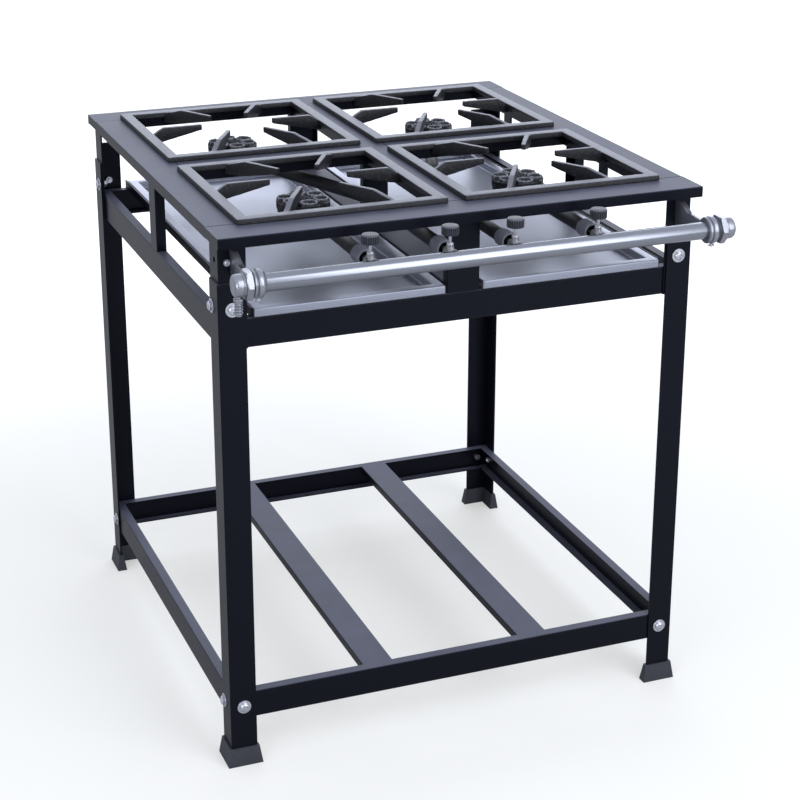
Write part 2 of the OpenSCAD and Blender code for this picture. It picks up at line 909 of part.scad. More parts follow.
module gas_inlet() {
    cast_colour() stand_frame() difference() {
        union() {
            mirror([1, 0, 0]) on_manifold(ring_out) cap_body();
            translate([-barb_x, manifold_y, gas_z - cap_d / 2 + barb_sink]) rotate([180, 0, 0]) hose_barb();
        }
        translate([-barb_x, manifold_y, gas_z - cap_d / 2 - eps])
            cylinder(h = (cap_d - manifold_d) / 2 + 2 * eps, d = barb_bore);
    }
}

// Valve with its nipple in the manifold, an upright neck and the gas jet facing the mixer
module valve_body() {
    body_l = 18;
    hex_l = 5;
    body_y = valve_back - body_l / 2;
    jet_y = body_y + body_l;
    difference() {
        union() {
            rotate([-90, 0, 0]) {
                translate([0, 0, manifold_d / 2 - manifold_wall]) cylinder(h = valve_back, d = nipple_d);
                translate([0, 0, body_y - hex_l]) cylinder(h = hex_l, d = 14 / cos(30), $fn = 6);
                translate([0, 0, body_y]) cylinder(h = body_l, d = valve_d);
                translate([0, 0, jet_y]) cylinder(h = jet_hex_l, d = 9 / cos(30), $fn = 6);
                translate([0, 0, jet_y + jet_hex_l]) cylinder(h = 16, d1 = 7, d2 = 4);
            }
            translate([0, valve_back, 0]) {
                cylinder(h = neck_h - 1.5, d = neck_d);
                translate([0, 0, neck_h - 1.5]) cylinder(h = 1.5, d1 = neck_d, d2 = neck_d - 2.5);
            }
        }
        translate([0, valve_back, 0]) cylinder(h = neck_h + eps, d = spindle_d + 2 * run_gap);
        rotate([-90, 0, 0]) translate([0, 0, manifold_d / 2 - manifold_wall - eps]) cylinder(h = 10, d = 4);
    }
}

module valves() {
    color([0.78, 0.76, 0.7]) stand_frame() for (c = CORNERS)
        translate([valve_x(c), manifold_y, gas_z]) valve_body();
}

// Knob with grip ribs and a domed top, on its spindle
module knob(c) {
    stand_frame() translate([valve_x(c), valve_y, knob_z]) {
        color([0.24, 0.25, 0.27]) difference() {
            intersection() {
                linear_extrude(knob_h) difference() {
                    circle(d = knob_d);
                    for (i = [0:knob_ribs - 1]) rotate(i * 360 / knob_ribs)
                        translate([knob_d / 2, 0]) circle(d = knob_groove_d, $fn = 16);
                }
                rotate_extrude() {
                    square([knob_d / 2, knob_h - 3]);
                    square([knob_d / 2 - 3, knob_h]);
                    translate([knob_d / 2 - 3, knob_h - 3]) circle(3);
                }
            }
            translate([0, 0, -eps]) difference() {
                cylinder(h = 4 + eps, d = knob_d - 5);
                cylinder(h = 5, d = 9);
            }
            translate([0, 0, -eps]) cylinder(h = 9 + eps, d = spindle_d + 2 * hole_gap);
        }
        color([0.75, 0.76, 0.78]) translate([0, 0, -knob_gap - neck_h + 4])
            cylinder(h = knob_gap + neck_h - 4 + 8.5, d = spindle_d);
    }
}

module knob_fl() {
    knob(FL);
}

module knob_fr() {
    knob(FR);
}

module knob_rl() {
    knob(RL);
}

module knob_rr() {
    knob(RR);
}

// Burners

module iron() {
    color([0.17, 0.17, 0.18]) children();
}

// Level round bar or bore from point a towards +y, turned clockwise by an angle
module rod(a, l, d, turn = 0) {
    translate([a[0], a[1], gas_z]) rotate([-90, 0, -turn]) cylinder(h = l, d = d);
}

// The run of a mixer tube from its mouth. A front tube runs straight back into the side of its bowl.
// A rear tube runs straight back to a knuckle and then slants to the middle of its burner.
module mixer_run(c, d, mouth) {
    p = burner_at(c);
    x = valve_x(c);
    if (c[1] < 0)
        rod([x, mouth], p[1] - mouth, d);
    else {
        slant = [p[0] - x, p[1] - bend_y];
        rod([x, mouth], bend_y - mouth, d);
        translate([x, bend_y, gas_z]) sphere(d = d + knuckle);
        rod([x, bend_y], norm(slant), d, atan2(slant[0], slant[1]));
    }
}

// Bowl of a burner as a shell of revolution, standing on its bar
module bowl_solid(inset) {
    r = bowl_r - inset;
    rotate_extrude() polygon([
        [0, inset], [18 - inset, inset], [r - 5, bowl_h / 3], [r, bowl_h / 2], [r, bowl_h + (inset > 0 ? eps : 0)],
        [0, bowl_h + (inset > 0 ? eps : 0)]
    ]);
}

module burner(c) {
    p = burner_at(c);
    iron() stand_frame() difference() {
        union() {
            mixer_run(c, mixer_d, mixer_front);
            translate([p[0], p[1], bowl_low]) {
                bowl_solid(0);
                translate([-9, 0, 0]) cube([18, bar_back + bar_w / 2 - 2, 8]);
            }
        }
        translate([p[0], p[1], bowl_low]) bowl_solid(cast_wall);
        mixer_run(c, mixer_d - 2 * mixer_wall, mixer_front - eps);
        burner_screw_place(c) cylinder(h = 2 * (bar_t + 6), d = small_screw_d + 2 * run_gap, center = true);
    }
}

module burner_fl() {
    burner(FL);
}

module burner_fr() {
    burner(FR);
}

module burner_rl() {
    burner(RL);
}

module burner_rr() {
    burner(RR);
}

// Rose-shaped crown: hollowed petals round a raised middle, parted by slots that notch the rim
module crown(c) {
    p = burner_at(c);
    r = crown_d / 2;
    top = crown_h + petal_h;
    ring_r = r - petal_d / 2 - 2;
    dome_r = (r * r + top * top) / top;
    iron() stand_frame() translate([p[0], p[1], crown_seat + seat_gap]) difference() {
        union() {
            rotate_extrude() {
                square([r - 2, crown_h]);
                translate([0, crown_h - 4]) square([r - 1.5, 4]);
                translate([r - 2, crown_h - 2]) circle(2);
            }
            translate([0, 0, -2]) cylinder(h = 3, r = bowl_r - cast_wall - seat_gap);
            intersection() {
                union() {
                    for (i = [0:petals - 1]) rotate((i + 0.5) * 360 / petals)
                        translate([ring_r, 0, 0]) cylinder(h = top, d = petal_d);
                    cylinder(h = top, d = petal_d * 0.8);
                }
                translate([0, 0, top + 1 - dome_r]) sphere(r = dome_r, $fn = 96);
            }
        }
        for (i = [0:petals - 1]) {
            rotate(i * 360 / petals) translate([ring_r * 0.45, -slot_w / 2, crown_h - 5])
                cube([r, slot_w, top]);
            rotate((i + 0.5) * 360 / petals) translate([ring_r, 0, top + petal_d / 4])
                sphere(d = petal_d * 0.9);
        }
        translate([0, 0, top + petal_d / 5]) sphere(d = petal_d * 0.7);
        translate([0, 0, -2 - eps]) cylinder(h = crown_h - 4, r = r - 3 * cast_wall);
    }
}

module crown_fl() {
    crown(FL);
}

module crown_fr() {
    crown(FR);
}

module crown_rl() {
    crown(RL);
}

module crown_rr() {
    crown(RR);
}

// Sleeve that slides on the mouth of a mixer tube to set its air
module shutter(c) {
    color([0.6, 0.62, 0.64]) stand_frame() translate([valve_x(c), shutter_front, gas_z]) rotate([-90, 0, 0])
        difference() {
            cylinder(h = shutter_len, d = shutter_d);
            translate([0, 0, -eps]) cylinder(h = shutter_len + 2 * eps, d = mixer_d + 2 * run_gap);
        }
}

module shutter_fl() {
    shutter(FL);
}

module shutter_fr() {
    shutter(FR);
}

module shutter_rl() {
    shutter(RL);
}

module shutter_rr() {
    shutter(RR);
}

// Grates

// Side view of a finger as [distance from the middle, height above the deck], running out to r_end
module finger_view(r_bar, r_end) {
    top = grate_bar_h + finger_rise;
    nose = 2.5;
    difference() {
        polygon([
            [finger_tip_r, top - finger_tip_h], [finger_tip_r, top], [finger_flat_r, top],
            [r_bar, grate_bar_h - 0.5], [r_end, grate_bar_h - 0.5], [r_end, -finger_drop - 2],
            [finger_flat_r + 4, -finger_drop]
        ]);
        translate([finger_tip_r - eps, top - nose]) square([nose + eps, nose + eps]);
    }
    translate([finger_tip_r + nose, top - nose]) circle(nose);
}

module grate_casting(c) {
    p = opening_at(c);
    inner = grate - 2 * grate_bar_w;
    lug = opening - 2 * lug_gap;
    iron() stand_frame() translate([p[0], p[1], deck_z + seat_gap]) {
        difference() {
            drafted_block(grate, grate, grate_bar_h, grate_draft);
            translate([0, 0, grate_bar_h]) mirror([0, 0, 1]) translate([0, 0, -eps])
                drafted_block(inner + 2 * grate_draft, inner + 2 * grate_draft, grate_bar_h + 2 * eps, grate_draft);
        }
        intersection() {
            for (i = [0:5]) rotate(60 * i) rotate([90, 0, 0]) linear_extrude(finger_t, center = true) {
                side = i % 3 == 0;
                finger_view(side ? inner / 2 + 1 : inner / 2 / sin(60), side ? lug / 2 : lug / sin(60) / 2 + 4);
            }
            cube([lug, lug, 8 * grate_bar_h], center = true);
        }
    }
}

module grate_fl() {
    grate_casting(FL);
}

module grate_fr() {
    grate_casting(FR);
}

module grate_rl() {
    grate_casting(RL);
}

module grate_rr() {
    grate_casting(RR);
}

// Trays

module box(x0, x1, y0, y1, z0, z1) {
    translate([x0, y0, z0]) cube([x1 - x0, y1 - y0, z1 - z0]);
}

module tray(s) {
    pan = tray_flange;
    t = tray_t;
    color([0.7, 0.72, 0.75]) stand_frame() mirror([s < 0 ? 1 : 0, 0, 0]) {
        difference() {
            box(tray_in, tray_out, tray_y0, tray_y1, tray_top - tray_hem, tray_top);
            box(tray_in + t, tray_out - t, tray_y0 + t, tray_y1 - t, tray_top - tray_hem - eps, tray_top - t);
            box(tray_in + pan, tray_out - pan, tray_y0 + pan, tray_y1 - pan, tray_low, tray_top + eps);
        }
        difference() {
            box(tray_in + pan - t, tray_out - pan + t, tray_y0 + pan - t, tray_y1 - pan + t, tray_low, tray_top);
            box(tray_in + pan, tray_out - pan, tray_y0 + pan, tray_y1 - pan, tray_low + t, tray_top + eps);
        }
    }
}

module tray_left() {
    tray(-1);
}

module tray_right() {
    tray(1);
}

deck_front();
deck_back();
deck_left();
deck_right();
deck_centre();
deck_cross_members();
front_posts();
rear_posts();
upright_front();
upright_back();
uprights_side();
upright_centre();
box_rail_front();
box_rail_back();
box_rails_side();
tray_centre_rail();
tray_guides();
burner_bars();
burner_screws();
leg_fl();
leg_fr();
leg_rl();
leg_rr();
feet();
shelf_rail_front();
shelf_rail_back();
shelf_rails_side();
shelf_slats();
leg_bolts();
leg_washers();
leg_nuts();
gas_manifold();
bracket_left();
bracket_right();
bracket_screws();
gas_inlet();
end_cap();
valves();
shutter_fl();
shutter_fr();
shutter_rl();
shutter_rr();
burner_fl();
burner_fr();
burner_rl();
burner_rr();
crown_fl();
crown_fr();
crown_rl();
crown_rr();
knob_fl();
knob_fr();
knob_rl();
knob_rr();
grate_fl();
grate_fr();
grate_rl();
grate_rr();
tray_left();
tray_right();
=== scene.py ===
# %% [markdown]
# A gas range for a workshop kitchen: four cast grates over rose burners, in a black steel
# frame on four legs, with a gas tube along its front edge.
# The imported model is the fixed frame. The cells below light it, give every node a finish,
# and put finer pieces where the eye looks closely.

# %% Load the frame
import json
import math
import bpy
import numpy as np
from mathutils import Matrix, Vector


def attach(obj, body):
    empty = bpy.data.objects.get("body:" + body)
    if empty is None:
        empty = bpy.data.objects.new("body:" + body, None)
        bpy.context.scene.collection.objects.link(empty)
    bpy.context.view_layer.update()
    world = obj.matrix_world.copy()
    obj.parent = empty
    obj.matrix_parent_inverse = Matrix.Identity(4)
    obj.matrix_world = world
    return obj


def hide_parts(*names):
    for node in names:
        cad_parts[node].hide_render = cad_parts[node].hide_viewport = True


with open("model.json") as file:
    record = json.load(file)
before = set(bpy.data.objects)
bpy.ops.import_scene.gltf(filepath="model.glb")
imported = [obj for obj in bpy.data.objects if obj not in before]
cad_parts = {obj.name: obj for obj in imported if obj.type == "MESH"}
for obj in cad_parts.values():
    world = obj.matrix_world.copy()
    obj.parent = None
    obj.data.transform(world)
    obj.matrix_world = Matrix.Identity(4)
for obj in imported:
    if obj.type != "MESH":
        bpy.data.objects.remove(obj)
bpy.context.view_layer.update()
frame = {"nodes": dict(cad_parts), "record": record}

# %% [markdown]
# The range was modelled from the middle of its four legs, while the frame's origin is the
# middle of the whole footprint. One number turns the first into the second: how far the legs
# stand behind the origin. The camera was solved in the legs' frame. In the photograph the
# uprights hardly lean, as in a picture that was straightened. This camera stands in the same
# place but looks down at the range, so that its views from other sides show all of it.

# %% Camera
MM = 0.001
STAND_Y = 48.037 * MM


def stand(x, y, z):
    """A point given in millimetres from the middle of the legs, as metres in the frame."""
    return Vector((x * MM, y * MM + STAND_Y, z * MM))


# Angles in radians, the focal length and the middle of the lens in pixels of the picture
YAW, PITCH, ROLL = 0.37419, 0.34626, 0.00172
FOCAL = 1931.22
LENS_MIDDLE = (400, 336)
PICTURE = 800
STANDPOINT = (-997.40, -2647.70, 1506.95)


def photo_camera():
    """A camera whose right, up and back directions come from yaw, pitch and roll.

    Forward leans down by the pitch and turns right by the yaw. Right stays level and up is
    right cross forward; both are then turned together about forward by the roll.
    """
    forward = np.array([math.sin(YAW) * math.cos(PITCH), math.cos(YAW) * math.cos(PITCH),
                        -math.sin(PITCH)])
    level = np.array([math.cos(YAW), -math.sin(YAW), 0.0])
    up = np.cross(level, forward)
    right = level * math.cos(ROLL) + up * math.sin(ROLL)
    top = up * math.cos(ROLL) - level * math.sin(ROLL)
    data = bpy.data.cameras.new("camera")
    data.sensor_width = 36
    data.lens = FOCAL / PICTURE * data.sensor_width
    data.shift_x = (PICTURE / 2 - LENS_MIDDLE[0]) / PICTURE
    data.shift_y = (LENS_MIDDLE[1] - PICTURE / 2) / PICTURE
    camera = bpy.data.objects.new("camera", data)
    turn = Matrix((right, top, -forward)).transposed().to_4x4()
    camera.matrix_world = Matrix.Translation(stand(*STANDPOINT)) @ turn
    bpy.context.scene.collection.objects.link(camera)
    bpy.context.scene.camera = camera
    return camera


camera = photo_camera()
print("lens", round(camera.data.lens, 1), "mm, at", camera.matrix_world.translation)

# %% [markdown]
# A shader is a graph, but it reads best as arithmetic. One small class wraps a socket, so
# that a sum of two masks is written as a sum. A second one holds the graph, and one method
# of it adds every node. Numbers are worked out in Python; colours go through Mix nodes,
# because a Math node would turn them grey.


# %% Shader arithmetic
class Wire:
    """An output socket whose operators add Math nodes."""

    def __init__(self, graph, socket):
        self.graph = graph
        self.socket = socket

    def math(self, operation, *others):
        return self.graph.node("ShaderNodeMath", {"operation": operation}, [self, *others])

    def __add__(self, other):
        return self.math("ADD", other)

    def __sub__(self, other):
        return self.math("SUBTRACT", other)

    def __rsub__(self, other):
        return self.graph.node("ShaderNodeMath", {"operation": "SUBTRACT"}, [other, self])

    def __mul__(self, other):
        return self.math("MULTIPLY", other)

    __radd__, __rmul__ = __add__, __mul__

    def ramp(self, low, high):
        """0 below low, 1 above high, and a smooth rise between."""
        return self.graph.node("ShaderNodeMapRange", {"interpolation_type": "SMOOTHSTEP"},
                               {"Value": self, "From Min": low, "From Max": high})


class Graph:
    """A node tree in which one method adds every node."""

    def __init__(self, tree):
        self.tree = tree

    def node(self, kind, settings, values, output=0):
        """Adds a node, sets its settings first, then fills or links its sockets."""
        node = self.tree.nodes.new(kind)
        for key, value in settings.items():
            setattr(node, key, value)
        pairs = values.items() if isinstance(values, dict) else enumerate(values)
        for key, value in pairs:
            self.feed(node.inputs[key], value)
        return Wire(self, node.outputs[output])

    def feed(self, socket, value):
        if isinstance(value, Wire):
            self.tree.links.new(value.socket, socket)
        else:
            socket.default_value = value

    def mix(self, factor, first, second):
        """From the first colour at factor 0 to the second at factor 1."""
        first, second = ((*c, 1.0) if isinstance(c, tuple) else c for c in (first, second))
        return self.node("ShaderNodeMix", {"data_type": "RGBA"},
                         {0: factor, 6: first, 7: second}, 2)


class Finish(Graph):
    """A material with a Principled shader."""

    def __init__(self, name, **plain):
        self.material = bpy.data.materials.new(name)
        self.material.use_nodes = True
        super().__init__(self.material.node_tree)
        self.shader = self.tree.nodes["Principled BSDF"]
        self.set(**plain)
        self.place = self.node("ShaderNodeTexCoord", {}, {}, "Object")

    def set(self, **inputs):
        for key, value in inputs.items():
            self.feed(self.shader.inputs[key.replace("_", " ")], value)

    def noise(self, scale, detail, rough, place=None):
        return self.node("ShaderNodeTexNoise", {}, {
            "Vector": place or self.place, "Scale": scale, "Detail": detail, "Roughness": rough})

    def tone(self):
        """The piece's own attribute tone, from 0 in hollows, where it paints shade, to 1 on light
        edges.
        """
        return self.node("ShaderNodeAttribute", {"attribute_name": "tone"}, {}, "Fac")

    def stretched(self, x, y, z):
        """The object's coordinates, scaled by a factor along each axis."""
        return self.node("ShaderNodeMapping", {}, {"Vector": self.place, "Scale": (x, y, z)})

    def facing_up(self):
        """1 on level upper faces, 0 on upright ones, from the surface's own normal."""
        normal = self.node("ShaderNodeNewGeometry", {}, {}, "Normal")
        return self.node("ShaderNodeSeparateXYZ", {}, [normal], "Z").ramp(0.55, 0.95)

    def bump(self, height, depth_mm):
        """Raises the surface by up to a depth in millimetres, and gives the material."""
        self.set(Normal=self.node("ShaderNodeBump", {},
                                  {"Height": height, "Distance": depth_mm * MM}, "Normal"))
        return self.material


print("helpers", Wire, Graph, Finish)


# %% [markdown]
# The frame is powder coated: a blue-black, half glossy paint with the faint orange-peel
# ripple of baked powder. On the upper faces a blue-grey painted sheen, in soft patches,
# makes those faces lighter than the upright ones, standing for the gloss that catches the light
# there.


# %% Black powder coat
BLUE_BLACK = (0.0030, 0.0032, 0.0062)
# A blue-grey painted sheen that lightens the faces that look up
PAINTED_SHEEN = (0.118, 0.124, 0.172)


def make_powder_coat(name):
    """The paint's colour; on upper faces 55 to 100% of the painted sheen's colour, patch by
    patch.
    """
    coat = Finish(name, Specular_IOR_Level=0.17, Specular_Tint=(0.74, 0.80, 1.0, 1.0))
    patches = coat.noise(9.0, 4.0, 0.6).ramp(0.36, 0.70)
    grain = coat.noise(900.0, 3.0, 0.6)
    # painted sheen: upper faces are lightened towards the sheen colour, patch by patch
    sheen_mask = coat.facing_up() * (0.55 + 0.25 * patches + 0.2 * grain)
    coat.set(Base_Color=coat.mix(sheen_mask, BLUE_BLACK, PAINTED_SHEEN),
             Roughness=0.32 + 0.24 * sheen_mask + 0.06 * (grain - 0.5))
    return coat.bump(coat.noise(420.0, 2.0, 0.5), 0.05)


powder_coat = make_powder_coat("black_powder_coat")
print("paint", powder_coat.name)

# %% [markdown]
# Trays, tube, bolts and fittings are bare or zinc-coated steel. A plain grey would look like
# plastic. Clouds in the tone and fine marks in the gloss, drawn out along the way the metal
# was rolled, make it read as sheet. One function makes all five kinds from their numbers.


# %% Zinc and steel
def make_zinc(name, colour, roughness, metallic, spangle, grain_mm, draw=(1, 1, 1)):
    """Zinc-coated metal: cloudy tone, fine grain, and faint marks along the way it was drawn.

    spangle is how much darker the darkest cloud is. draw scales the coordinates of the
    marks: a small factor stretches them along that axis.
    """
    zinc = Finish(name)
    cloud = zinc.noise(14.0, 4.0, 0.6)
    marks = zinc.noise(700.0, 3.0, 0.6, zinc.stretched(*draw))
    dark = tuple(c * (1.0 - spangle) for c in colour)
    zinc.set(Base_Color=zinc.mix(0.6 * cloud + 0.4 * marks, dark, colour), Metallic=metallic,
             Roughness=roughness + 0.08 * (cloud - 0.5) + 0.08 * (marks - 0.5))
    return zinc.bump(marks, grain_mm)


ALONG_Y, ALONG_X = (1, 0.04, 1), (0.03, 1, 1)
galvanised = make_zinc("galvanised_sheet", (0.31, 0.325, 0.39), 0.40, 0.85, 0.10, 0.003, ALONG_Y)
bright_tube = make_zinc("bright_tube", (0.29, 0.305, 0.345), 0.24, 1.0, 0.04, 0.003, ALONG_X)
sleeve_zinc = make_zinc("sleeve_zinc", (0.19, 0.20, 0.24), 0.50, 0.5, 0.08, 0.01)
bolt_zinc = make_zinc("bolt_zinc", (0.58, 0.59, 0.64), 0.30, 0.9, 0.05, 0.01)
valve_metal = make_zinc("valve_metal", (0.50, 0.50, 0.52), 0.32, 0.9, 0.08, 0.01)
print("zinc", [m.name for m in (galvanised, bright_tube, sleeve_zinc, bolt_zinc, valve_metal)])

# %% [markdown]
# Cast iron keeps the grain of the sand it was poured in. Grains of two sizes give the bump,
# and the same height lightens what stands proud, as wear and dust do.


# %% Cast metals
def make_cast(name, colour, light, roughness, metallic, bumps_mm, scale, specular=0.3,
              upper=None):
    """Sand-cast skin: rounded grains in two sizes, lighter where they stand proud.

    The piece's tone adds light edges and leaves its hollows dark as painted shade, and upper is
    the colour of a painted sheen on faces that look up.
    """
    cast = Finish(name, Specular_IOR_Level=specular)
    coarse = cast.noise(scale, 4.0, 0.65)
    fine = cast.noise(scale * 3.2, 2.0, 0.6)
    height = 0.65 * coarse + 0.35 * fine
    proud = height.ramp(0.54, 0.68)
    rim = cast.tone().ramp(0.5, 1.0)
    broken = 0.5 + 0.5 * coarse
    body = cast.mix(proud * 0.6 + rim * broken, colour, light)
    # painted sheen: faces that look up are lightened towards the upper colour
    if upper:
        body = cast.mix(cast.facing_up() * broken, body, upper)
    cast.set(Base_Color=body, Metallic=metallic, Roughness=roughness + 0.14 * (coarse - 0.5))
    return cast.bump(height, bumps_mm)


cast_zinc = make_cast("cast_zinc", (0.31, 0.32, 0.36), (0.42, 0.43, 0.48), 0.30, 0.85,
                      0.015, 420.0, specular=0.5)
# the grate's upper colour is a painted sheen on the tops of its bars and fingers
grate_iron = make_cast("grate_iron", (0.012, 0.012, 0.015), (0.105, 0.105, 0.112), 0.40, 0.0,
                       0.5, 300.0, upper=(0.150, 0.155, 0.200))
crown_iron = make_cast("crown_iron", (0.009, 0.009, 0.012), (0.300, 0.310, 0.360), 0.42, 0.0,
                       0.6, 420.0)
burner_iron = make_cast("burner_iron", (0.008, 0.008, 0.010), (0.035, 0.035, 0.038), 0.50,
                        0.0, 0.3, 380.0)
print("cast", [m.name for m in (cast_zinc, grate_iron, crown_iron, burner_iron)])

# %% [markdown]
# Knobs and feet are moulded plastic with a fine eroded skin, rubbed lighter where hands go. A
# knob's grooves stay darker than its ribs as painted shade.


# %% Plastics
def make_plastic(name, colour, roughness):
    """Moulded plastic: a fine eroded texture and slightly uneven gloss.

    Where the piece's tone is high it is up to seven times as light, as rubbed wear; where it is
    low, as in a knob's grooves, it stays dark as painted shade.
    """
    plastic = Finish(name, Specular_IOR_Level=0.35)
    erosion = plastic.noise(1100.0, 3.0, 0.6)
    cloud = plastic.noise(60.0, 3.0, 0.6)
    # rubbed wear where the tone is high, painted shade in a knob's low-tone grooves
    wear_and_groove_shade = plastic.tone().ramp(0.4, 1.0) * 0.8 + 0.2 * cloud
    plastic.set(Base_Color=plastic.mix(wear_and_groove_shade, colour, tuple(c * 7.0 for c in colour)),
                Roughness=roughness + 0.12 * (cloud - 0.5))
    return plastic.bump(erosion, 0.03)


knob_plastic = make_plastic("knob_plastic", (0.018, 0.019, 0.024), 0.42)
foot_plastic = make_plastic("foot_plastic", (0.020, 0.021, 0.027), 0.50)
print("plastics", knob_plastic.name, foot_plastic.name)

# %% [markdown]
# In the record every node names a slot, and one table turns each slot into a finish. Sheet
# and angle steel keep their CAD shape.

# %% Give each node its finish
FINISH_OF_SLOT = {
    "black_frame": powder_coat,
    "galvanised_sheet": galvanised,
    "bright_tube": bright_tube,
    "cast_fitting": cast_zinc,
    "valve_metal": valve_metal,
    "sleeve_steel": sleeve_zinc,
    "zinc_fasteners": bolt_zinc,
    "cast_iron": grate_iron,
    "knob_plastic": knob_plastic,
    "foot_plastic": foot_plastic,
}
for part in frame["record"]["subparts"]:
    node = frame["nodes"][part["node"]]
    node.data.materials.clear()
    node.data.materials.append(FINISH_OF_SLOT[part["material_slot"]])

# %% [markdown]
# Every new piece is a skin of rows and columns of points. Each row is a closed loop, rows
# are joined one to the next, and the two ends are closed with a fan, so that a piece is a
# sealed solid. Whole arrays are worked out at once and handed to the mesh.


# %% Skins
def skin(points, ring=False, tone=None):
    """Vertices, faces and tones of a closed skin in millimetres.

    points has rows, columns and three coordinates. A quad joins each point to its neighbours
    in its own row and in the next row. With ring the last row meets the first; otherwise a
    fan to the mean of each end row closes it. The signed volume, a third of the sum of each
    triangle's corner times its cross product, says whether the faces point outwards.
    """
    rows, columns, _ = points.shape
    here = np.arange(rows * columns).reshape(rows, columns)
    beside = np.roll(here, -1, axis=1)
    below, below_beside = np.roll(here, -1, axis=0), np.roll(beside, -1, axis=0)
    if not ring:
        below, below_beside = below[:-1], below_beside[:-1]
    count = len(below)
    quads = np.stack([here[:count], beside[:count], below_beside, below], axis=-1).reshape(-1, 4)
    corners = points.reshape(-1, 3)
    fans = np.empty((0, 3), int)
    if not ring:
        first, last = len(corners), len(corners) + 1
        corners = np.vstack([corners, points[0].mean(axis=0), points[-1].mean(axis=0)])
        fans = np.vstack([np.stack([np.full(columns, first), beside[0], here[0]], axis=-1),
                          np.stack([np.full(columns, last), here[-1], beside[-1]], axis=-1)])
    triangles = np.vstack([quads[:, [0, 1, 2]], quads[:, [0, 2, 3]], fans])
    a, b, c = (corners[triangles[:, i]] for i in range(3))
    if np.einsum("ij,ij->i", a, np.cross(b, c)).sum() < 0:
        quads, fans = quads[:, ::-1], fans[:, ::-1]
    tones = np.full(len(corners), 0.4)
    if tone is not None:
        tones[:tone.size] = tone.reshape(-1)
    return corners, quads.tolist() + fans.tolist(), tones


def build(name, skins, finish, body, replaced, crease=38, uneven=0.0):
    """Joins skins into one piece that rides on a body and may stand for CAD nodes.

    Edges that turn by more than crease, in degrees, stay sharp. uneven moves each point by
    up to that many millimetres: each coordinate by a sine of the other two, as the soft skin
    of a sand mould leaves a casting.
    """
    corners, faces, tones, count = [], [], [], 0
    for points, loops, tone in skins:
        corners.append(points)
        tones.append(tone)
        faces += [[index + count for index in loop] for loop in loops]
        count += len(points)
    corners = np.concatenate(corners)
    if uneven:
        x, y, z = corners.T
        waves = [np.sin(0.52 * y + 0.9 * z), np.sin(0.47 * x - 0.8 * z + 2.0),
                 (np.sin(0.41 * x) + np.sin(0.36 * y + 1.0)) / 2]
        corners = corners + uneven * np.stack(waves, axis=-1)
    corners = corners * MM + np.array([0.0, STAND_Y, 0.0])
    mesh = bpy.data.meshes.new(name)
    mesh.from_pydata(corners.tolist(), [], faces)
    mesh.polygons.foreach_set("use_smooth", np.ones(len(faces), bool))
    tone = mesh.attributes.new("tone", "FLOAT", "POINT")
    tone.data.foreach_set("value", np.concatenate(tones).astype(np.float32))
    mesh.set_sharp_from_angle(angle=math.radians(crease))
    mesh.materials.append(finish)
    mesh.update()
    piece = bpy.data.objects.new(name, mesh)
    bpy.context.scene.collection.objects.link(piece)
    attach(piece, body)
    if replaced:
        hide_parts(*replaced)
    print(name, len(corners), "points on", body)


def circle(columns):
    """Evenly spaced angles, once round."""
    return np.linspace(0, 2 * np.pi, columns, endpoint=False)


def across(axis):
    """Two unit directions square to an axis, and the unit axis, as the rows of a matrix."""
    along = np.array(axis, float) / np.linalg.norm(axis)
    helper = np.array([0.0, 0.0, 1.0]) if abs(along[2]) < 0.9 else np.array([1.0, 0.0, 0.0])
    side = np.cross(helper, along)
    side /= np.linalg.norm(side)
    return np.stack([side, np.cross(along, side), along])


def turned(profile, origin, axis, columns=64, shape=None, ring=False, tone=None):
    """Carries a profile of (distance along, radius) round an axis.

    shape may change the radius, and tone may shade the skin: both get every radius, distance
    and angle and give one value for each.
    """
    profile = np.asarray(profile, float)
    angle = circle(columns)
    along = np.repeat(profile[:, :1], columns, axis=1)
    radius = np.repeat(profile[:, 1:], columns, axis=1)
    shade = tone(radius, along, angle[None, :]) if tone else None
    if shape:
        radius = shape(radius, along, angle[None, :])
    side, up, forward = across(axis)
    spokes = np.cos(angle)[:, None] * side + np.sin(angle)[:, None] * up
    points = np.array(origin, float) + radius[..., None] * spokes + along[..., None] * forward
    return skin(points, ring, shade)


def soften(profile, radius, steps=4, closed=False):
    """Rounds each corner of a polyline with a curve that starts and ends up to radius away.

    Each corner becomes a quadratic curve: its two ends lie on the neighbouring edges, no
    further than 45% of the edge, and the corner is the control point.
    """
    profile = np.asarray(profile, float)
    before, after = np.roll(profile, 1, axis=0), np.roll(profile, -1, axis=0)
    to_before, to_after = before - profile, after - profile
    reach = []
    for edge in (to_before, to_after):
        length = np.maximum(np.linalg.norm(edge, axis=1), 1e-9)
        reach.append(edge * (np.minimum(radius, 0.45 * length) / length)[:, None])
    t = np.linspace(0, 1, steps)[None, :, None]
    start, end = (profile + reach[0])[:, None], (profile + reach[1])[:, None]
    curve = (1 - t) ** 2 * start + 2 * t * (1 - t) * profile[:, None] + t ** 2 * end
    if closed:
        return curve.reshape(-1, profile.shape[1])
    inner = curve[1:-1].reshape(-1, profile.shape[1])
    return np.vstack([profile[:1], inner, profile[-1:]])


def smooth(x):
    """0 below 0, 1 above 1, and 3 x squared minus 2 x cubed between."""
    x = np.clip(x, 0, 1)
    return x * x * (3 - 2 * x)


print("smooth", [smooth(x / 4) for x in range(5)])


# %% [markdown]
# ## Grates
# A grate is one iron casting: a square frame of flat bars and six fingers that point at the
# flame. The frame is a rounded section carried round a square. A finger is a plate that
# climbs from the bar to a flat top and ends in a blunt nose, with a lug below that drops
# into the deck. Both are drafted a little, as a casting has to be to leave its mould. From
# here on every length is in millimetres in the legs' frame.

# %% Where the openings, burners and valves are
DECK_Z = 787.0
# Gap between a grate and the deck it rests on
SEAT = 0.3
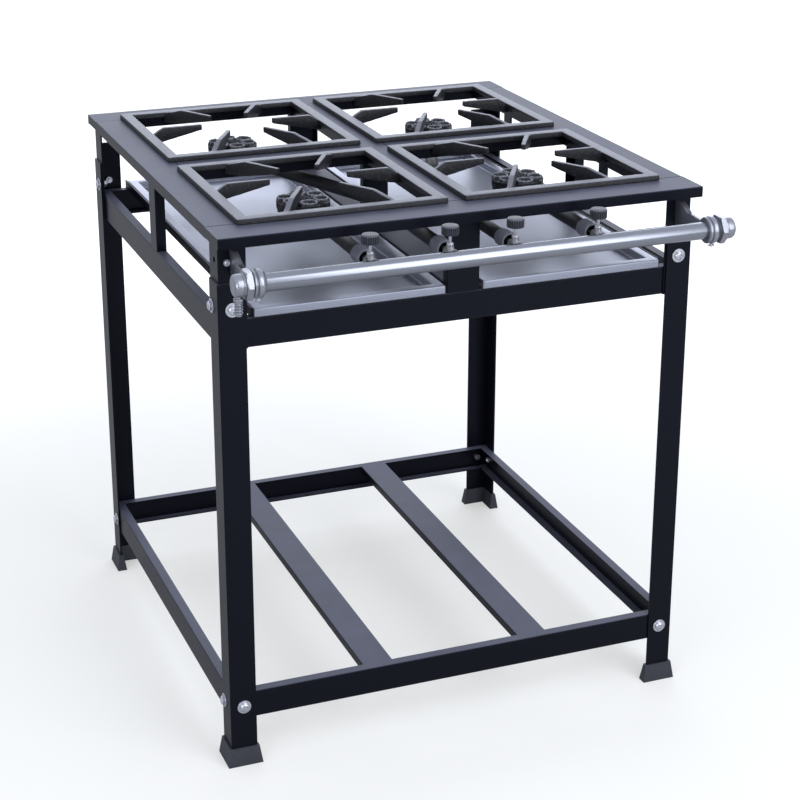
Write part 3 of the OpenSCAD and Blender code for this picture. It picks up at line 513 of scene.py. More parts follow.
# Side and depth of each corner: front left, front right, rear left, rear right
CORNERS = {"fl": (-1, -1), "fr": (1, -1), "rl": (-1, 1), "rr": (1, 1)}
OPENING_X = 162.0
OPENING_Y = {-1: -170.0, 1: 173.0}
BURNER_SHIFT = {-1: 8.5, 1: 3.0}
VALVE_X = {"fl": -161.0, "rl": -49.0, "rr": 45.0, "fr": 168.0}


def opening_place(corner):
    """The middle of a corner's opening in the deck."""
    side, depth = CORNERS[corner]
    return side * OPENING_X, OPENING_Y[depth]


def burner_place(corner):
    """Burners stand a little to the left in their openings, the left ones more so."""
    x, y = opening_place(corner)
    return x - BURNER_SHIFT[CORNERS[corner][0]], y


print("burners at", [burner_place(corner) for corner in CORNERS])


# %% Grate frame and fingers
BAR_IN, BAR_OUT, BAR_H, BAR_DRAFT = 132.0, 150.0, 7.5, 0.8
FINGER_H, FINGER_DROP = 16.0, 9.0
NOSE_AT, NOSE_R, KNEE_AT = 57, 1.3, 118
# Where a finger's slope meets the bar, and where its lug ends: straight and slanting ones
MEETS_STRAIGHT, MEETS_SLANTING = (133.0, 137.5), (152.4, 157.0)


def square_loop(half, corner_radius, steps=6, between=44):
    """Four quarter circles, each centred its radius inside two sides, joined by straight rows.

    half and corner_radius have one value for each row. Between two quarters, a row goes
    straight on in as many steps as between says.
    """
    quarter = np.radians(np.linspace(0, 90, steps))
    angle = (np.radians([0, 90, 180, 270])[:, None] + quarter).reshape(-1)
    corner = np.repeat(np.radians([45, 135, 225, 315]), steps)
    reach = (half - corner_radius)[:, None]
    x = reach * np.sign(np.cos(corner)) + corner_radius[:, None] * np.cos(angle)
    y = reach * np.sign(np.sin(corner)) + corner_radius[:, None] * np.sin(angle)
    straight = steps - 1 + np.linspace(0, 1, between, endpoint=False)
    part = np.concatenate([np.arange(steps - 1), straight])
    index = (np.arange(4)[:, None] * steps + part).reshape(-1)
    low = np.floor(index).astype(int)
    share = index - low
    high = (low + 1) % (4 * steps)
    return tuple(v[:, low] * (1 - share) + v[:, high] * share for v in (x, y))


def grate_frame(x0, y0):
    """The bar's section, softened, is carried round a square with sharper corners inside."""
    low, high = DECK_Z + SEAT, DECK_Z + SEAT + BAR_H
    section = soften([(BAR_IN, low), (BAR_OUT, low), (BAR_OUT - BAR_DRAFT, high),
                      (BAR_IN + BAR_DRAFT, high)], 1.3, 5, closed=True)
    radius = np.interp(section[:, 0], [BAR_IN, BAR_OUT], [1.2, 2.6])
    x, y = square_loop(section[:, 0], radius)
    z = np.repeat(section[:, 1:], x.shape[1], axis=1)
    return skin(np.stack([x + x0, y + y0, z], axis=-1), ring=True)


def plate(stations, low, high, half, round_off, origin, direction, nose=0.0):
    """A standing plate: a softened rectangle at each station along a level direction.

    low, high and half give its underside, top and half thickness at each station. Over the
    length nose its first stations draw in on all sides by a quarter circle of that radius,
    which leaves a blunt end with rounded edges.
    """
    stations, low, high, half = (np.asarray(v, float) for v in (stations, low, high, half))
    if nose:
        share = np.clip((stations - stations[0]) / nose, 0, 1)
        draw = nose * (1 - np.sqrt(1 - (1 - share) ** 2))
        low, high, half = low + draw, high - draw, half - draw
    bend = np.linspace(0, np.pi / 2, 4)
    radius = np.minimum(round_off, np.minimum(half, (high - low) / 2) * 0.9)[:, None]
    sides, levels = [], []
    for quadrant, (sx, sz) in enumerate([(1, 1), (-1, 1), (-1, -1), (1, -1)]):
        angle = bend + quadrant * np.pi / 2
        sides.append(sx * (half[:, None] - radius) + radius * np.cos(angle))
        edge = high[:, None] - radius if sz > 0 else low[:, None] + radius
        levels.append(edge + radius * np.sin(angle))
    side, level = np.hstack(sides), np.hstack(levels)
    forward = np.array([math.cos(direction), math.sin(direction)])
    left = np.array([-forward[1], forward[0]])
    x = origin[0] + stations[:, None] * forward[0] + side * left[0]
    y = origin[1] + stations[:, None] * forward[1] + side * left[1]
    return skin(np.stack([x, y, level], axis=-1))


def finger(x0, y0, angle):
    """A flat top from the nose to the knee, then a slope to the bar; below, a lug in the deck."""
    to_bar, end = MEETS_STRAIGHT if angle % 180 == 0 else MEETS_SLANTING
    top = DECK_Z + SEAT + FINGER_H
    nose = NOSE_AT + NOSE_R * (1 - np.cos(np.linspace(0, np.pi / 2, 6)))
    stations = np.concatenate([nose, np.linspace(61, 117, 17), np.linspace(118.5, to_bar, 7),
                               [to_bar + 2, end]])
    high = np.interp(stations, [NOSE_AT, KNEE_AT, to_bar], [top, top, top - FINGER_DROP])
    low = np.interp(stations, [NOSE_AT, 122, end], [top - 8.0, DECK_Z - 5.7, DECK_Z - 7.7])
    half = np.interp(stations, [NOSE_AT, 80, 125], [3.0, 3.4, 3.8])
    return plate(stations, low, high, half, 1.0, (x0, y0), math.radians(angle), nose=NOSE_R)


for corner in CORNERS:
    x0, y0 = opening_place(corner)
    fingers = [finger(x0, y0, angle) for angle in range(0, 360, 60)]
    build("grate_casting_" + corner, [grate_frame(x0, y0), *fingers], grate_iron,
          "grate_" + corner, ["grate_" + corner], uneven=0.16)

# %% [markdown]
# ## Rose burners
# The crown is cast as a rose: six oval petals round a raised bud. Each petal is a thick lip
# round a deep hollow, and slots between the petals notch the rim and let the flame out. It
# is a height over angle and radius, so one formula shapes all of it. It rests in an iron
# bowl at the end of the mixer tube, where gas and air meet.

# %% Crown
CROWN_R = 38.2
CROWN_SEAT = 760.3
PETAL_AT, PETAL_HALF_OUT, PETAL_HALF_WIDE = 25.4, 12.6, 12.7
PETAL_SIZE = np.array([1.00, 0.95, 1.03, 0.96, 1.02, 0.95])
PETAL_LIFT = np.array([0.0, 0.5, -0.5, 0.4, -0.4, 0.3])


def crown(corner):
    """Rows run from the bud out to the rim, down the wall and back under to the axis.

    In each sixth, q is the distance from the petal's middle, counted in petal sizes. The
    height steps up where q falls under 1, carries a rounded lip near q = 0.84 and sinks to a
    hollow inside q = 0.76. Beside the petals, where q is over 1, a slot drops to the rim. The
    tone follows the same q: light on the lips, and low in hollows and slots, where it paints
    shade.
    """
    x0, y0 = burner_place(corner)
    angle = circle(300)[None, :]
    radius = np.linspace(0.6, CROWN_R, 64)[:, None]
    petal = np.floor(angle / (np.pi / 3)).astype(int) % 6
    size, lift = PETAL_SIZE[petal], PETAL_LIFT[petal]
    sixth = np.mod(angle, np.pi / 3) - np.pi / 6
    out, aside = radius * np.cos(sixth) - PETAL_AT, radius * np.sin(sixth)
    q = np.sqrt((out / PETAL_HALF_OUT) ** 2 + (aside / PETAL_HALF_WIDE) ** 2) / size
    step, lip = smooth((1.04 - q) / 0.14), np.exp(-((q - 0.84) / 0.11) ** 2)
    hollow = smooth((0.76 - q) / 0.30)
    beside = smooth((np.abs(sixth) - np.radians(19)) / np.radians(6)) * smooth((radius - 11) / 3)
    slot = smooth((q - 0.97) / 0.10) * beside
    bud = 4.2 * smooth((8.4 - radius) / 1.8) - 3.4 * smooth((5.6 - radius) / 3.4)
    wave = (0.34 * np.sin(5 * angle + radius * 0.5) + 0.30 * np.sin(11 * angle - radius * 0.9)
            + 0.55 * np.sin(23 * angle + 1.3 * radius) * np.sin(0.9 * radius - 7 * angle))
    height = (2.8 + lift) * step + 1.6 * lip - 3.4 * hollow - 3.6 * slot + bud
    edge = smooth((CROWN_R - radius) / 1.8)
    top = CROWN_SEAT + 8.4 + (height + wave) * (0.12 + 0.88 * edge) - 0.6 * (1 - edge)
    # painted shade: hollows and slots get a lower tone than the lips
    lip_light_hollow_shade = 0.45 + 0.55 * lip * edge - 0.30 * hollow - 0.40 * slot + 0.3 * wave
    notch = smooth((np.abs(sixth) - np.radians(24.5)) / np.radians(2.5))
    drop = np.array([0.6, 2.0, 3.5, 5.0, 6.2, 7.6])[:, None]
    wall_z = np.minimum(top[-1] - drop, CROWN_SEAT + 7.8 - drop) + 0 * angle
    wall_r = CROWN_R - 0.3 - 2.6 * notch * smooth((6.4 - drop) / 1.2) + 0 * drop
    under_r = np.array([35.5, 31.8, 31.6, 20.0, 1.0])[:, None] + 0 * angle
    under_z = CROWN_SEAT - np.array([0, 0, 2, 2, 2])[:, None] + 0 * angle
    r = np.vstack([radius + 0 * angle, wall_r, under_r])
    z = np.vstack([top, wall_z, under_z])
    # the wall and the underside get lower tones, painted shade under the crown's top
    tone = np.vstack([np.clip(lip_light_hollow_shade, 0, 1), 0.3 + 0 * wall_r, 0 * under_r])
    points = np.stack([x0 + r * np.cos(angle), y0 + r * np.sin(angle), z], axis=-1)
    return skin(points, tone=tone)


print("petals", len(PETAL_SIZE), "mean width", 2 * PETAL_HALF_WIDE * PETAL_SIZE.mean(), "mm")


# %% Bowl and mixer tube
MIXER_Z = 748.0
MIXER_MOUTH = -390.0
MIXER_OUTER, MIXER_INNER = 9.5, 7.5
# A rear tube's knee, and how far before and behind it the tube begins and ends to turn
BEND_Y, BEND_REACH = -138.0, 40.0
# Heights and radii of the bowl's wall, up the outside and down the inside
BOWL_OUTSIDE = [(730, 0.5), (730, 18), (736, 25), (743, 34.5), (750, 36.3), (756.5, 36.3),
                (757.2, 37.6), (760, 37.6)]
BOWL_INSIDE = [(760, 32.3), (748, 32.3), (741, 29), (735, 17), (734, 0.5)]


def tube_path(corner):
    """Points along the mixer tube.

    A front tube runs straight back into the side of its bowl. A rear tube turns through a
    quadratic curve at its bend and then slants to the middle of its burner.
    """
    x0, y0 = burner_place(corner)
    x1 = VALVE_X[corner]
    mouth = np.array([x1, MIXER_MOUTH])
    if CORNERS[corner][1] < 0:
        line = mouth + (np.array([x1, y0]) - mouth) * np.linspace(0, 1, 12)[:, None]
    else:
        end, knee = np.array([x0, y0]), np.array([x1, BEND_Y])
        start = knee - np.array([0.0, BEND_REACH])
        leave = knee + (end - knee) / np.linalg.norm(end - knee) * BEND_REACH
        t = np.linspace(0, 1, 14)[:, None]
        before = mouth + (start - mouth) * np.linspace(0, 1, 8, endpoint=False)[:, None]
        bend = (1 - t) ** 2 * start + 2 * t * (1 - t) * knee + t ** 2 * leave
        behind = leave + (end - leave) * np.linspace(0, 1, 10)[1:, None]
        line = np.vstack([before, bend, behind])
    return np.column_stack([line, np.full(len(line), MIXER_Z)])


def pipe(path, outer, inner):
    """A wall swept along a path: outer circles to the end, then inner circles back.

    outer has a radius for each point of the path, and inner is one radius.
    """
    ahead = np.gradient(path, axis=0)
    ahead /= np.linalg.norm(ahead, axis=1)[:, None]
    side = np.cross(ahead, [0.0, 0.0, 1.0])
    side /= np.linalg.norm(side, axis=1)[:, None]
    up = np.cross(side, ahead)
    angle = circle(40)[:, None]
    spokes = np.cos(angle) * side[:, None] + np.sin(angle) * up[:, None]
    outside = path[:, None] + outer[:, None, None] * spokes
    inside = path[:, None] + inner * spokes
    return skin(np.concatenate([outside, inside[::-1]]), ring=True)


def burner_bowl(x0, y0):
    """A turned bowl: a flat foot, a round belly, a beaded lip, and the same form inside."""
    profile = soften([*BOWL_OUTSIDE, *BOWL_INSIDE], 2.2, 5)
    return turned(profile, (x0, y0, 0), (0, 0, 1), 72)


def burner_ear(x0, y0):
    """A flat ear under the bowl, thinner and narrower to its end, that the screw goes through."""
    return plate([0, 6, 14, 26, 30], [730] * 5, [739, 739, 738, 737, 736], [9, 9, 9, 8, 6],
                 1.5, (x0, y0), math.pi / 2)


def cast_tube(corner):
    """The mixer tube swells a little where it joins the bowl."""
    path = tube_path(corner)
    length = np.concatenate([[0], np.cumsum(np.linalg.norm(np.diff(path, axis=0), axis=1))])
    total = length[-1]
    swell = 1.6 * smooth((length - total + 90) / 50)
    keep = length < total - 28
    return pipe(path[keep], MIXER_OUTER + swell[keep], MIXER_INNER)


for corner in CORNERS:
    x0, y0 = burner_place(corner)
    build("rose_crown_" + corner, [crown(corner)], crown_iron,
          "crown_" + corner, ["crown_" + corner], 50)
    build("burner_casting_" + corner,
          [burner_bowl(x0, y0), cast_tube(corner), burner_ear(x0, y0)], burner_iron,
          "stand", ["burner_" + corner])

# %% [markdown]
# ## Valves, sleeves and knobs
# Each valve screws into the tube behind a small hexagon, and its jet blows into the sleeve
# of the mixer. The ribbed knob stands on a thin bright spindle.


# %% Turned parts with flats
def hexagon(flats, ends, chamfer):
    """A rule for radii: a flat's distance over the cosine of the angle from its middle.

    At each end a cone cuts the corners, 1.7 wider for each millimetre from the end.
    """
    def rule(radius, along, angle):
        flat = flats / 2 / np.cos(np.mod(angle, np.pi / 3) - np.pi / 6)
        cones = [flats / 2 + chamfer + 1.7 * np.abs(along - end) for end in ends]
        limit = np.minimum(np.minimum(*cones), flat)
        return np.where(radius > flats / 2 - 0.01, np.minimum(limit, radius), radius)
    return rule


def nut_profile(start, end, flats, steps=7):
    """Axis, face, the outside in small steps, face, axis; the hexagon rule shapes the outside."""
    corner = flats / 2 / math.cos(math.pi / 6)
    levels = np.linspace(start, end, steps)
    outside = [(level, corner) for level in levels]
    return [(start, 0.4), (start, flats / 2 - 0.4), *outside, (end, flats / 2 - 0.4), (end, 0.4)]


def hex_block(start, end, flats, origin, axis, columns=96):
    rule = hexagon(flats, (start, end), 0.1)
    return turned(nut_profile(start, end, flats), origin, axis, columns, rule)


print("a 10 mm nut's profile", nut_profile(0, 5, 10, 2))


# %% Valve, knob and sleeve
GAS_Z = 748.0
MANIFOLD_Y = -444.0
VALVE_Y = -412.0
SLEEVE_Y = -398.0
SLEEVE_LEN, SLEEVE_OUTER, SLEEVE_INNER = 28, 12.5, 9.6
KNOB_Z, KNOB_R, KNOB_H = 773.0, 11.75, 13.0
KNOB_RIBS, RIB_DEPTH, RIB_TOP = 24, 1.5, 11.6
SPINDLE_Z, SPINDLE_R, SPINDLE_LEN = 752, 2.25, 29.5
UP, BACK = (0, 0, 1), (0, 1, 0)


def valve(corner):
    """Nipple, hexagon, round body and tapered jet along the flow, and an upright neck."""
    origin = (VALVE_X[corner], MANIFOLD_Y, GAS_Z)
    body = soften([(11, 0.4), (11, 4.5), (23, 4.5), (23, 6.8), (24, 7.5), (40, 7.5), (41, 6.9),
                   (41, 0.4)], 0.7)
    jet = soften([(46, 0.4), (46, 3.5), (50, 3.4), (61, 2.2), (62, 1.6), (62, 0.4)], 0.5)
    neck = soften([(4, 0.4), (4, 5), (12.6, 5), (14, 3.8), (14, 0.4)], 0.4)
    return [turned(body, origin, BACK, 48), hex_block(18, 23, 14, origin, BACK),
            hex_block(41, 46, 9, origin, BACK), turned(jet, origin, BACK, 32),
            turned(neck, (origin[0], VALVE_Y, GAS_Z), UP, 40)]


def knob(corner):
    """A round grip with ribs between deep grooves, and a flat cap with a rounded edge.

    A groove is the top of a cosine wave round the grip, faded out at its two ends and towards
    the axis. The tone is high on the ribs and on the cap's edge, as rubbed wear, and low in
    the grooves, where it paints shade.
    """
    profile = soften([(0, 0.4), (0, 11.0), (0.6, KNOB_R), (10.9, KNOB_R), (12.2, 11.0),
                      (12.7, 9.8), (KNOB_H, 6.0), (KNOB_H, 0.4)], 1.0, 5)
    fine = np.vstack([profile[:1], *[np.linspace(start, end, 4)[1:]
                                     for start, end in zip(profile[:-1], profile[1:])]])

    def groove(radius, along, angle):
        wave = np.clip(np.cos(KNOB_RIBS * angle) * 0.9 + 0.25, 0, 1)
        ends = smooth((along - 0.2) / 0.6) * smooth((RIB_TOP - along) / 0.9)
        return ends * smooth((radius - 9.5) / 1.2) * wave

    def ribs(radius, along, angle):
        return radius - RIB_DEPTH * groove(radius, along, angle)

    # tone of the grip: rubbed wear on the cap's edge, painted shade in the grooves
    def wear_and_groove_shade(radius, along, angle):
        edge = np.exp(-((along - RIB_TOP) / 0.7) ** 2) * smooth((radius - 8.5) / 2)
        return np.clip(0.55 + 0.5 * edge - 0.55 * groove(radius, along, angle), 0, 1)

    return turned(fine, (VALVE_X[corner], VALVE_Y, KNOB_Z), UP, 288, ribs, tone=wear_and_groove_shade)


def sleeve(corner):
    """A short sleeve with rolled edges, open right through."""
    profile = soften([(0, SLEEVE_INNER), (0, SLEEVE_OUTER), (SLEEVE_LEN, SLEEVE_OUTER),
                      (SLEEVE_LEN, SLEEVE_INNER)], 1.4, 6, closed=True)
    return turned(profile, (VALVE_X[corner], SLEEVE_Y, GAS_Z), BACK, 64, ring=True)


valves = [part for corner in CORNERS for part in valve(corner)]
build("gas_valves", valves, valve_metal, "stand", ["valves"], 35)
for corner in CORNERS:
    rod = soften([(0, 0.3), (0, SPINDLE_R), (SPINDLE_LEN, SPINDLE_R), (SPINDLE_LEN, 0.3)], 0.3)
    spindle = turned(rod, (VALVE_X[corner], VALVE_Y, SPINDLE_Z), UP, 24)
    build("gas_knob_" + corner, [knob(corner)], knob_plastic,
          "knob_" + corner, ["knob_" + corner], 50)
    build("spindle_" + corner, [spindle], bolt_zinc, "knob_" + corner, [])
    build("air_sleeve_" + corner, [sleeve(corner)], sleeve_zinc,
          "shutter_" + corner, ["shutter_" + corner])

# %% [markdown]
# ## Gas tube
# The bright tube carries the gas along the front. A cast bracket with a clamp ring holds
# each end, then come a hexagon and a rounded cap. The same casting serves both ends, so the
# ring's narrow ridge is on the left at both. The left cap has the barb for the hose. All of
# it is turned work round the tube's axis, except the bracket's arm.

# %% Tube, rings and caps
# Distances from the middle: the ring's two faces, the hexagon's outer face, the cap's end
RING_IN, RING_OUT, CAP_HEX, CAP_END = 314.5, 332.5, 342.0, 357.0
TUBE_END, TUBE_R = CAP_END - 5, 12.0
CAP_FLATS = 36.5
BARB_X, BARB_DROP = 349.5, 12.4
LUG_X, ARM_X, POST_Y = 335.5, RING_OUT - 5.5, -347.5


def clamp_ring(side):
    """A cone that swells to a drum, a groove, and a narrow ridge at its left end."""
    shape = soften([(0, 12.05), (0, 13.2), (1.6, 14.6), (4.6, 18.0), (6.4, 19.0), (10.8, 19.0),
                    (11.8, 18.0), (12.4, 16.0), (13.6, 16.0), (14.2, 17.8), (14.8, 18.3),
                    (16.6, 18.3), (17.4, 17.3), (18, 15.5), (18, 12.05)], 0.7, 5, closed=True)
    if side > 0:
        shape = shape * [-1, 1] + [RING_OUT - RING_IN, 0]
    return turned(shape + [RING_IN, 0], (0, MANIFOLD_Y, GAS_Z), (side, 0, 0), 120, ring=True)


def end_fitting(side):
    """A chamfered hexagon and the round cap beyond it, parted from the ring by a narrow joint."""
    origin, axis = (0, MANIFOLD_Y, GAS_Z), (side, 0, 0)
    joint = [(RING_OUT - 1, 0.5), (RING_OUT - 1, 13.6), (RING_OUT + 3, 13.6), (RING_OUT + 3, 0.5)]
    cap = soften([(CAP_HEX - 4, 0.5), (CAP_HEX - 4, 15.0), (CAP_HEX + 1.2, 15.0),
                  (CAP_HEX + 1.8, 14.4), (CAP_HEX + 2.8, 14.4), (CAP_HEX + 3.4, 15.0),
                  (CAP_END - 4.0, 15.0), (CAP_END - 1.0, 13.4), (CAP_END, 10.5),
                  (CAP_END - 0.4, 5.0), (CAP_END - 0.5, 0.5)], 1.1, 6)
    profile = nut_profile(RING_OUT + 0.9, CAP_HEX, CAP_FLATS, 12)
    rule = hexagon(CAP_FLATS, (CAP_HEX, RING_OUT + 0.4), 0.2)
    return [turned(joint, origin, axis, 64), turned(profile, origin, axis, 144, rule),
            turned(cap, origin, axis, 96)]


def bracket_arm(side):
    """A gusset from the post to the ring: its top slopes steeply, then runs nearly level."""
    stations = np.array([0, 5, 10.8, 12, 18, 26, 33.4, 34.8, 40, 50, 64, 76, 81.5])
    high = np.interp(stations, [0, 11.3, 34, 81.5], [18, 18, 6, 5])
    low = np.interp(stations, [0, 11.3, 34, 81.5], [-18, -18, -10, -8])
    half = np.full(len(stations), 4.0)
    return plate(stations, GAS_Z + low, GAS_Z + high, half, 1.1, (side * ARM_X, POST_Y),
                 -math.pi / 2)


def lug(side):
    """The small round ear that takes the dome-headed screw."""
    profile = soften([(0, 0.4), (0, 5.0), (3, 5.0), (3, 0.4)], 0.5)
    return turned(profile, (side * LUG_X, POST_Y, GAS_Z), (0, -1, 0), 40)


def hose_barb():
    """A neck and a bead, then four ridges that each widen sharply and fall back in a slope."""
    profile = [(0, 0.4), (0, 4.4), (3.6, 4.4), (4.2, 6.3), (8.4, 6.3), (9.2, 4.2), (11, 4.2)]
    for ridge in range(4):
        start = 11.5 + 4 * ridge
        profile += [(start, 5.8), (start + 1, 5.8), (start + 3.3, 4.3), (start + 3.8, 4.3)]
    profile += [(28, 4.3), (28, 3.1), (16, 3.0), (16, 0.4)]
    return turned(soften(profile, 0.5, 5), (-BARB_X, MANIFOLD_Y, GAS_Z - BARB_DROP), (0, 0, -1),
                  64)


wall = soften([(-TUBE_END, 0.5), (-TUBE_END, TUBE_R), (TUBE_END, TUBE_R), (TUBE_END, 0.5)], 0.6)
tube = turned(wall, (0, MANIFOLD_Y, GAS_Z), (1, 0, 0), 128)
build("gas_tube", [tube], bright_tube, "stand", ["gas_manifold"])
for side, name, node in ((-1, "left", "gas_inlet"), (1, "right", "end_cap")):
    build("tube_bracket_" + name, [clamp_ring(side), bracket_arm(side), lug(side)], cast_zinc,
          "stand", ["bracket_" + name], 30)
    fitting = end_fitting(side) + ([hose_barb()] if side < 0 else [])
    build("tube_end_" + name, fitting, cast_zinc, "stand", [node], 30)

# %% [markdown]
# ## Screws
# Pan-headed bolts with a cross recess hold the legs, each on a wide washer, with a nut
# inside. The head is a height over a disc: a flat dome, less the depth of the recess where a
# point lies in one of its two arms. The shank is a row of small ridges, a millimetre apart.


# %% Bolts, washers and nuts
BOLT_D, BOLT_HEAD_D, BOLT_HEAD_H, NUT_FLATS, NUT_H = 6.0, 13.0, 4.5, 10.0, 5.0
WASHER_T, WASHER_R, WASHER_HOLE_R = 1.6, 10.0, 3.1
# Height and thickness of metal of the upper and the lower row of bolts
BOLT_ROWS = ((683.0, 5.0), (91.5, 4.5))


def screw_head(origin, axis, diameter, height, shank, turn=0.0):
    """Rows run from the middle of the dome to its edge, down the side and in under the head."""
    half = diameter / 2
    angle = circle(56)[None, :]
    radius = np.linspace(0.25, half, 22)[:, None]
    x, y = np.abs(radius * np.cos(angle + turn)), np.abs(radius * np.sin(angle + turn))
    arm, reach, slope = 0.085 * diameter, 0.27 * diameter, 0.05 * diameter
    arms = [(1 - smooth((u - arm) / slope)) * (1 - smooth((v - reach) / slope))
            for u, v in ((x, y), (y, x))]
    dome = height * (1 - 0.45 * (radius / half) ** 4)
    top = dome - 0.5 * height * np.maximum(*arms)
    side_z = np.array([0.3 * height, 0.06 * height, 0.0, 0.0])[:, None] + 0 * angle
    side_r = np.array([half, half, half - 0.06 * height, shank / 2])[:, None] + 0 * angle
    r, z = np.vstack([radius + 0 * angle, side_r]), np.vstack([top, side_z])
    side, up, along = across(axis)
    spokes = (r * np.cos(angle))[..., None] * side + (r * np.sin(angle))[..., None] * up
    return skin(np.array(origin, float) + spokes + z[..., None] * along)


def threaded(origin, axis, diameter, start, end):
    """A zigzag of two radii, 0.3 mm apart, every half millimetre along the axis."""
    levels = np.arange(start, end, 0.5)
    radius = diameter / 2 - 0.3 * (np.arange(len(levels)) % 2)
    radius[0] = diameter / 2 - 0.6
    profile = [(start, 0.3), *zip(levels, radius), (end, 0.3)]
    return turned(profile, origin, axis, 20)


def leg_bolt_places():
    """Origin on the leg's face and outward axis of the sixteen bolts, and what each clamps."""
    for sx, sy in CORNERS.values():
        for z, grip in BOLT_ROWS:
            yield np.array([sx * 330.0, sy * 350.0, z]), np.array([0.0, sy, 0.0]), grip
            yield np.array([sx * 350.0, sy * 322.0, z]), np.array([sx, 0.0, 0.0]), grip


bolts, washers, nuts = [], [], []
rim = soften([(0, WASHER_HOLE_R), (0, WASHER_R), (WASHER_T, WASHER_R),
              (WASHER_T, WASHER_HOLE_R)], 0.5, 4, closed=True)
for index, (origin, axis, grip) in enumerate(leg_bolt_places()):
    bolts.append(screw_head(origin + WASHER_T * axis, axis, BOLT_HEAD_D, BOLT_HEAD_H, BOLT_D,
                            0.4 + 1.1 * index))
    bolts.append(threaded(origin, axis, BOLT_D, -grip - NUT_H - 2.0, 1.0))
    washers.append(turned(rim, origin, axis, 56, ring=True))
    nuts.append(hex_block(-grip - NUT_H, -grip, NUT_FLATS, origin, axis, 48))
build("leg_bolt_set", bolts, bolt_zinc, "stand", ["leg_bolts"], 30)
build("leg_washer_set", washers, bolt_zinc, "stand", ["leg_washers"], 30)
build("leg_nut_set", nuts, bolt_zinc, "stand", ["leg_nuts"], 30)

# %% [markdown]
# Each bracket has three screws: a small dome head through its ear, one from inside the post
# into the gusset, and a set screw that stands a little out under the ring.

# %% Screws of the brackets
screws = []
stem = soften([(-3, 0.3), (-3, 2.0), (2.4, 2.0), (2.4, 0.3)], 0.2)
for side, set_x in ((-1, 323.5), (1, 326.0)):
    front = (side * LUG_X, POST_Y - 3.0, GAS_Z)
    inside = (side * ARM_X, POST_Y + 2.5, GAS_Z - 9.0)
    under = np.array([side * set_x, MANIFOLD_Y, GAS_Z - 18.6])
    screws += [screw_head(front, (0, -1, 0), 8.0, 3.5, 5.0, 0.3),
               screw_head(inside, BACK, 10.0, 3.0, 5.0, 0.9),
               turned(stem, under, (0, 0, -1), 24),
               screw_head(under - [0, 0, 2.2], (0, 0, -1), 9.0, 3.0, 4.0)]
build("bracket_screw_set", screws, bolt_zinc, "stand", ["bracket_screws"], 30)

# %% [markdown]
# ## Trays
# A drip tray is one folded sheet: a hem hangs from a flat flange, and inside the flange a
# low pan catches what boils over. The fold is rounded, so its edges catch the light. Its
# section runs from the middle of the pan out to the hem and back underneath.


# %% Drip trays
TRAY_LOW, TRAY_TOP, TRAY_SHEET, TRAY_HEM = 667.3, 680.0, 1.0, 11
TRAY_NEAR, TRAY_FAR = 28.0, 300.0
TRAY_FRONT, TRAY_BACK = -349.0, 337.0


def rectangle_loop(inset, radius, box):
    """The loop of square_loop, stretched so that every row lies its inset inside a box."""
    x0, x1, y0, y1 = box
    half = np.minimum(x1 - x0, y1 - y0) / 2
    x, y = square_loop(half - inset, radius, between=10)
    return (x + np.sign(x) * ((x1 - x0) / 2 - half) + (x0 + x1) / 2,
            y + np.sign(y) * ((y1 - y0) / 2 - half) + (y0 + y1) / 2)


def tray(side):
    """Each point of the section is an inset from the outer edge and a height."""
    low, top, sheet, hem = TRAY_LOW, TRAY_TOP, TRAY_SHEET, TRAY_TOP - TRAY_HEM
    upper = soften([(100, low + sheet), (14.5, low + sheet), (14, top), (0, top), (0, hem)],
                   1.6, 5)
    lower = soften([(sheet, hem), (sheet, top - sheet), (13, top - sheet), (13.5, low),
                    (100, low)], 1.0, 5)
    section = np.vstack([upper, lower])
    section = np.insert(section, [1, len(section) - 1], [[18, low + sheet], [18, low]], axis=0)
    radius = np.interp(section[:, 0], [0, 14, 100], [1.6, 3.0, 6.0])
    edges = sorted((side * TRAY_NEAR, side * TRAY_FAR))
    x, y = rectangle_loop(section[:, 0], radius, (*edges, TRAY_FRONT, TRAY_BACK))
    z = np.repeat(section[:, 1:], x.shape[1], axis=1)
    return skin(np.stack([x, y, z], axis=-1))


for side, name in ((-1, "tray_left"), (1, "tray_right")):
    build("drip_" + name, [tray(side)], galvanised, name, [name], 40)

# %% [markdown]
# The floor is a pale plane. To the camera it glows a little as well, so that it shows as
# white, but it still takes the range's shadow. The world is white to the camera and a cool
# white to mirrors. Large soft lamps light the range as a product studio does: a tall one in
# front, a wide one behind for the sheen on the upper faces, and a weak one at the left.


# %% Studio
COOL = (0.92, 0.95, 1.0)
FLOOR_HALF = 12.0


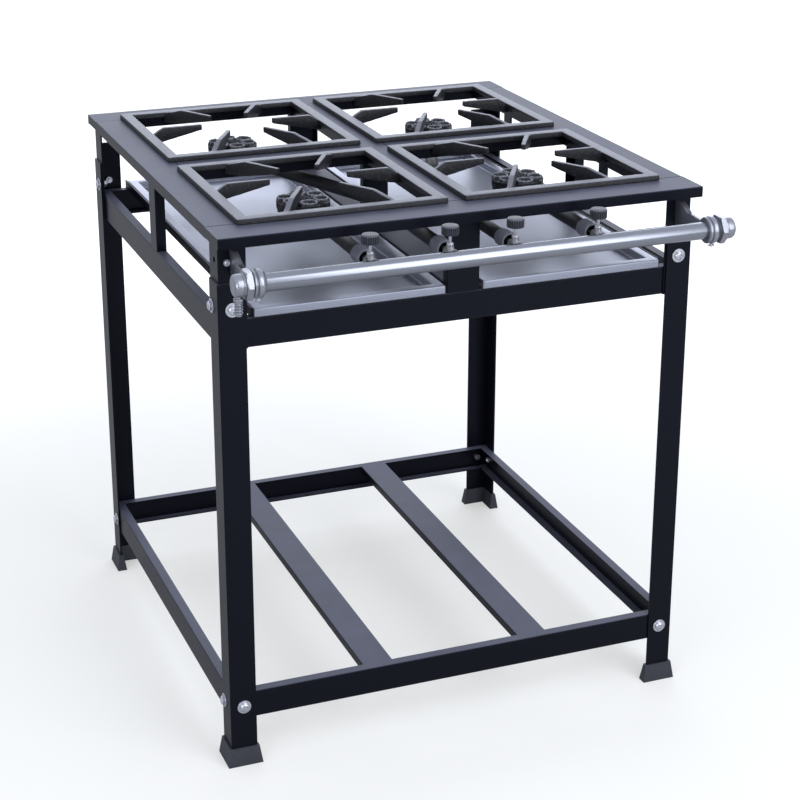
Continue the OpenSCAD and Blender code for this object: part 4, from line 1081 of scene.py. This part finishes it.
def make_floor():
    """A wide pale square: its glow to the camera rises with the distance from the range."""
    h = FLOOR_HALF
    mesh = bpy.data.meshes.new("floor")
    mesh.from_pydata([(-h, -h, 0), (h, -h, 0), (h, h, 0), (-h, h, 0)], [], [(0, 1, 2, 3)])
    floor = bpy.data.objects.new("floor", mesh)
    bpy.context.scene.collection.objects.link(floor)
    paper = Finish("studio_floor", Roughness=0.9, Specular_IOR_Level=0.1, Emission_Strength=1.0)
    soft = paper.noise(3.0, 2.0, 0.5)
    seen = paper.node("ShaderNodeLightPath", {}, {}, "Is Camera Ray")
    distance = paper.node("ShaderNodeVectorMath", {"operation": "LENGTH"}, [paper.place], "Value")
    glow = paper.mix(distance.ramp(0.7, 2.2), (0.42, 0.42, 0.40), (0.70, 0.70, 0.68))
    paper.set(Base_Color=paper.mix(soft, (0.57, 0.57, 0.57), (0.59, 0.59, 0.59)),
              Emission_Color=paper.mix(seen, (0.0, 0.0, 0.0), glow))
    mesh.materials.append(paper.material)


def make_sky():
    """White to the camera, a cool white to mirrors and glass, and weaker as a light."""
    world = bpy.data.worlds.new("studio")
    world.use_nodes = True
    bpy.context.scene.world = world
    sky = Graph(world.node_tree)
    to_camera, through_glass, to_mirror = (
        sky.node("ShaderNodeLightPath", {}, {}, ray)
        for ray in ("Is Camera Ray", "Is Transmission Ray", "Is Glossy Ray"))
    seen = to_camera.math("MAXIMUM", through_glass).math("MAXIMUM", to_mirror)
    background = world.node_tree.nodes["Background"]
    sky.feed(background.inputs["Color"], sky.mix(to_camera, (0.86, 0.90, 1.0), (1.0, 1.0, 1.0)))
    sky.feed(background.inputs["Strength"], 0.75 + 0.25 * seen)


def make_lamp(name, place, aim, size, radiance, colour):
    """A rectangular lamp turned to face its aim; power is pi times area times radiance."""
    data = bpy.data.lights.new(name, "AREA")
    data.shape = "RECTANGLE"
    data.size, data.size_y = size
    data.energy = math.pi * size[0] * size[1] * radiance
    data.color = colour
    lamp = bpy.data.objects.new(name, data)
    lamp.location = place
    lamp.rotation_euler = (Vector(aim) - Vector(place)).to_track_quat("-Z", "Y").to_euler()
    lamp.visible_camera = False
    bpy.context.scene.collection.objects.link(lamp)
    print(name, "lamp", round(data.energy, 1), "W")


make_floor()
make_sky()
make_lamp("front", (1.0, -2.6, 1.9), (0, -0.3, 0.6), (1.7, 3.0), 3.3, COOL)
make_lamp("back", (1.15, 3.1, 1.8), (0, 0, 0.7), (3.4, 2.0), 2.0, (0.86, 0.91, 1.0))
make_lamp("left", (-2.3, -2.3, 1.15), (0, -0.2, 0.7), (1.4, 1.4), 3.0, COOL)

# %% Finish
bpy.context.scene.view_settings.view_transform = "Standard"
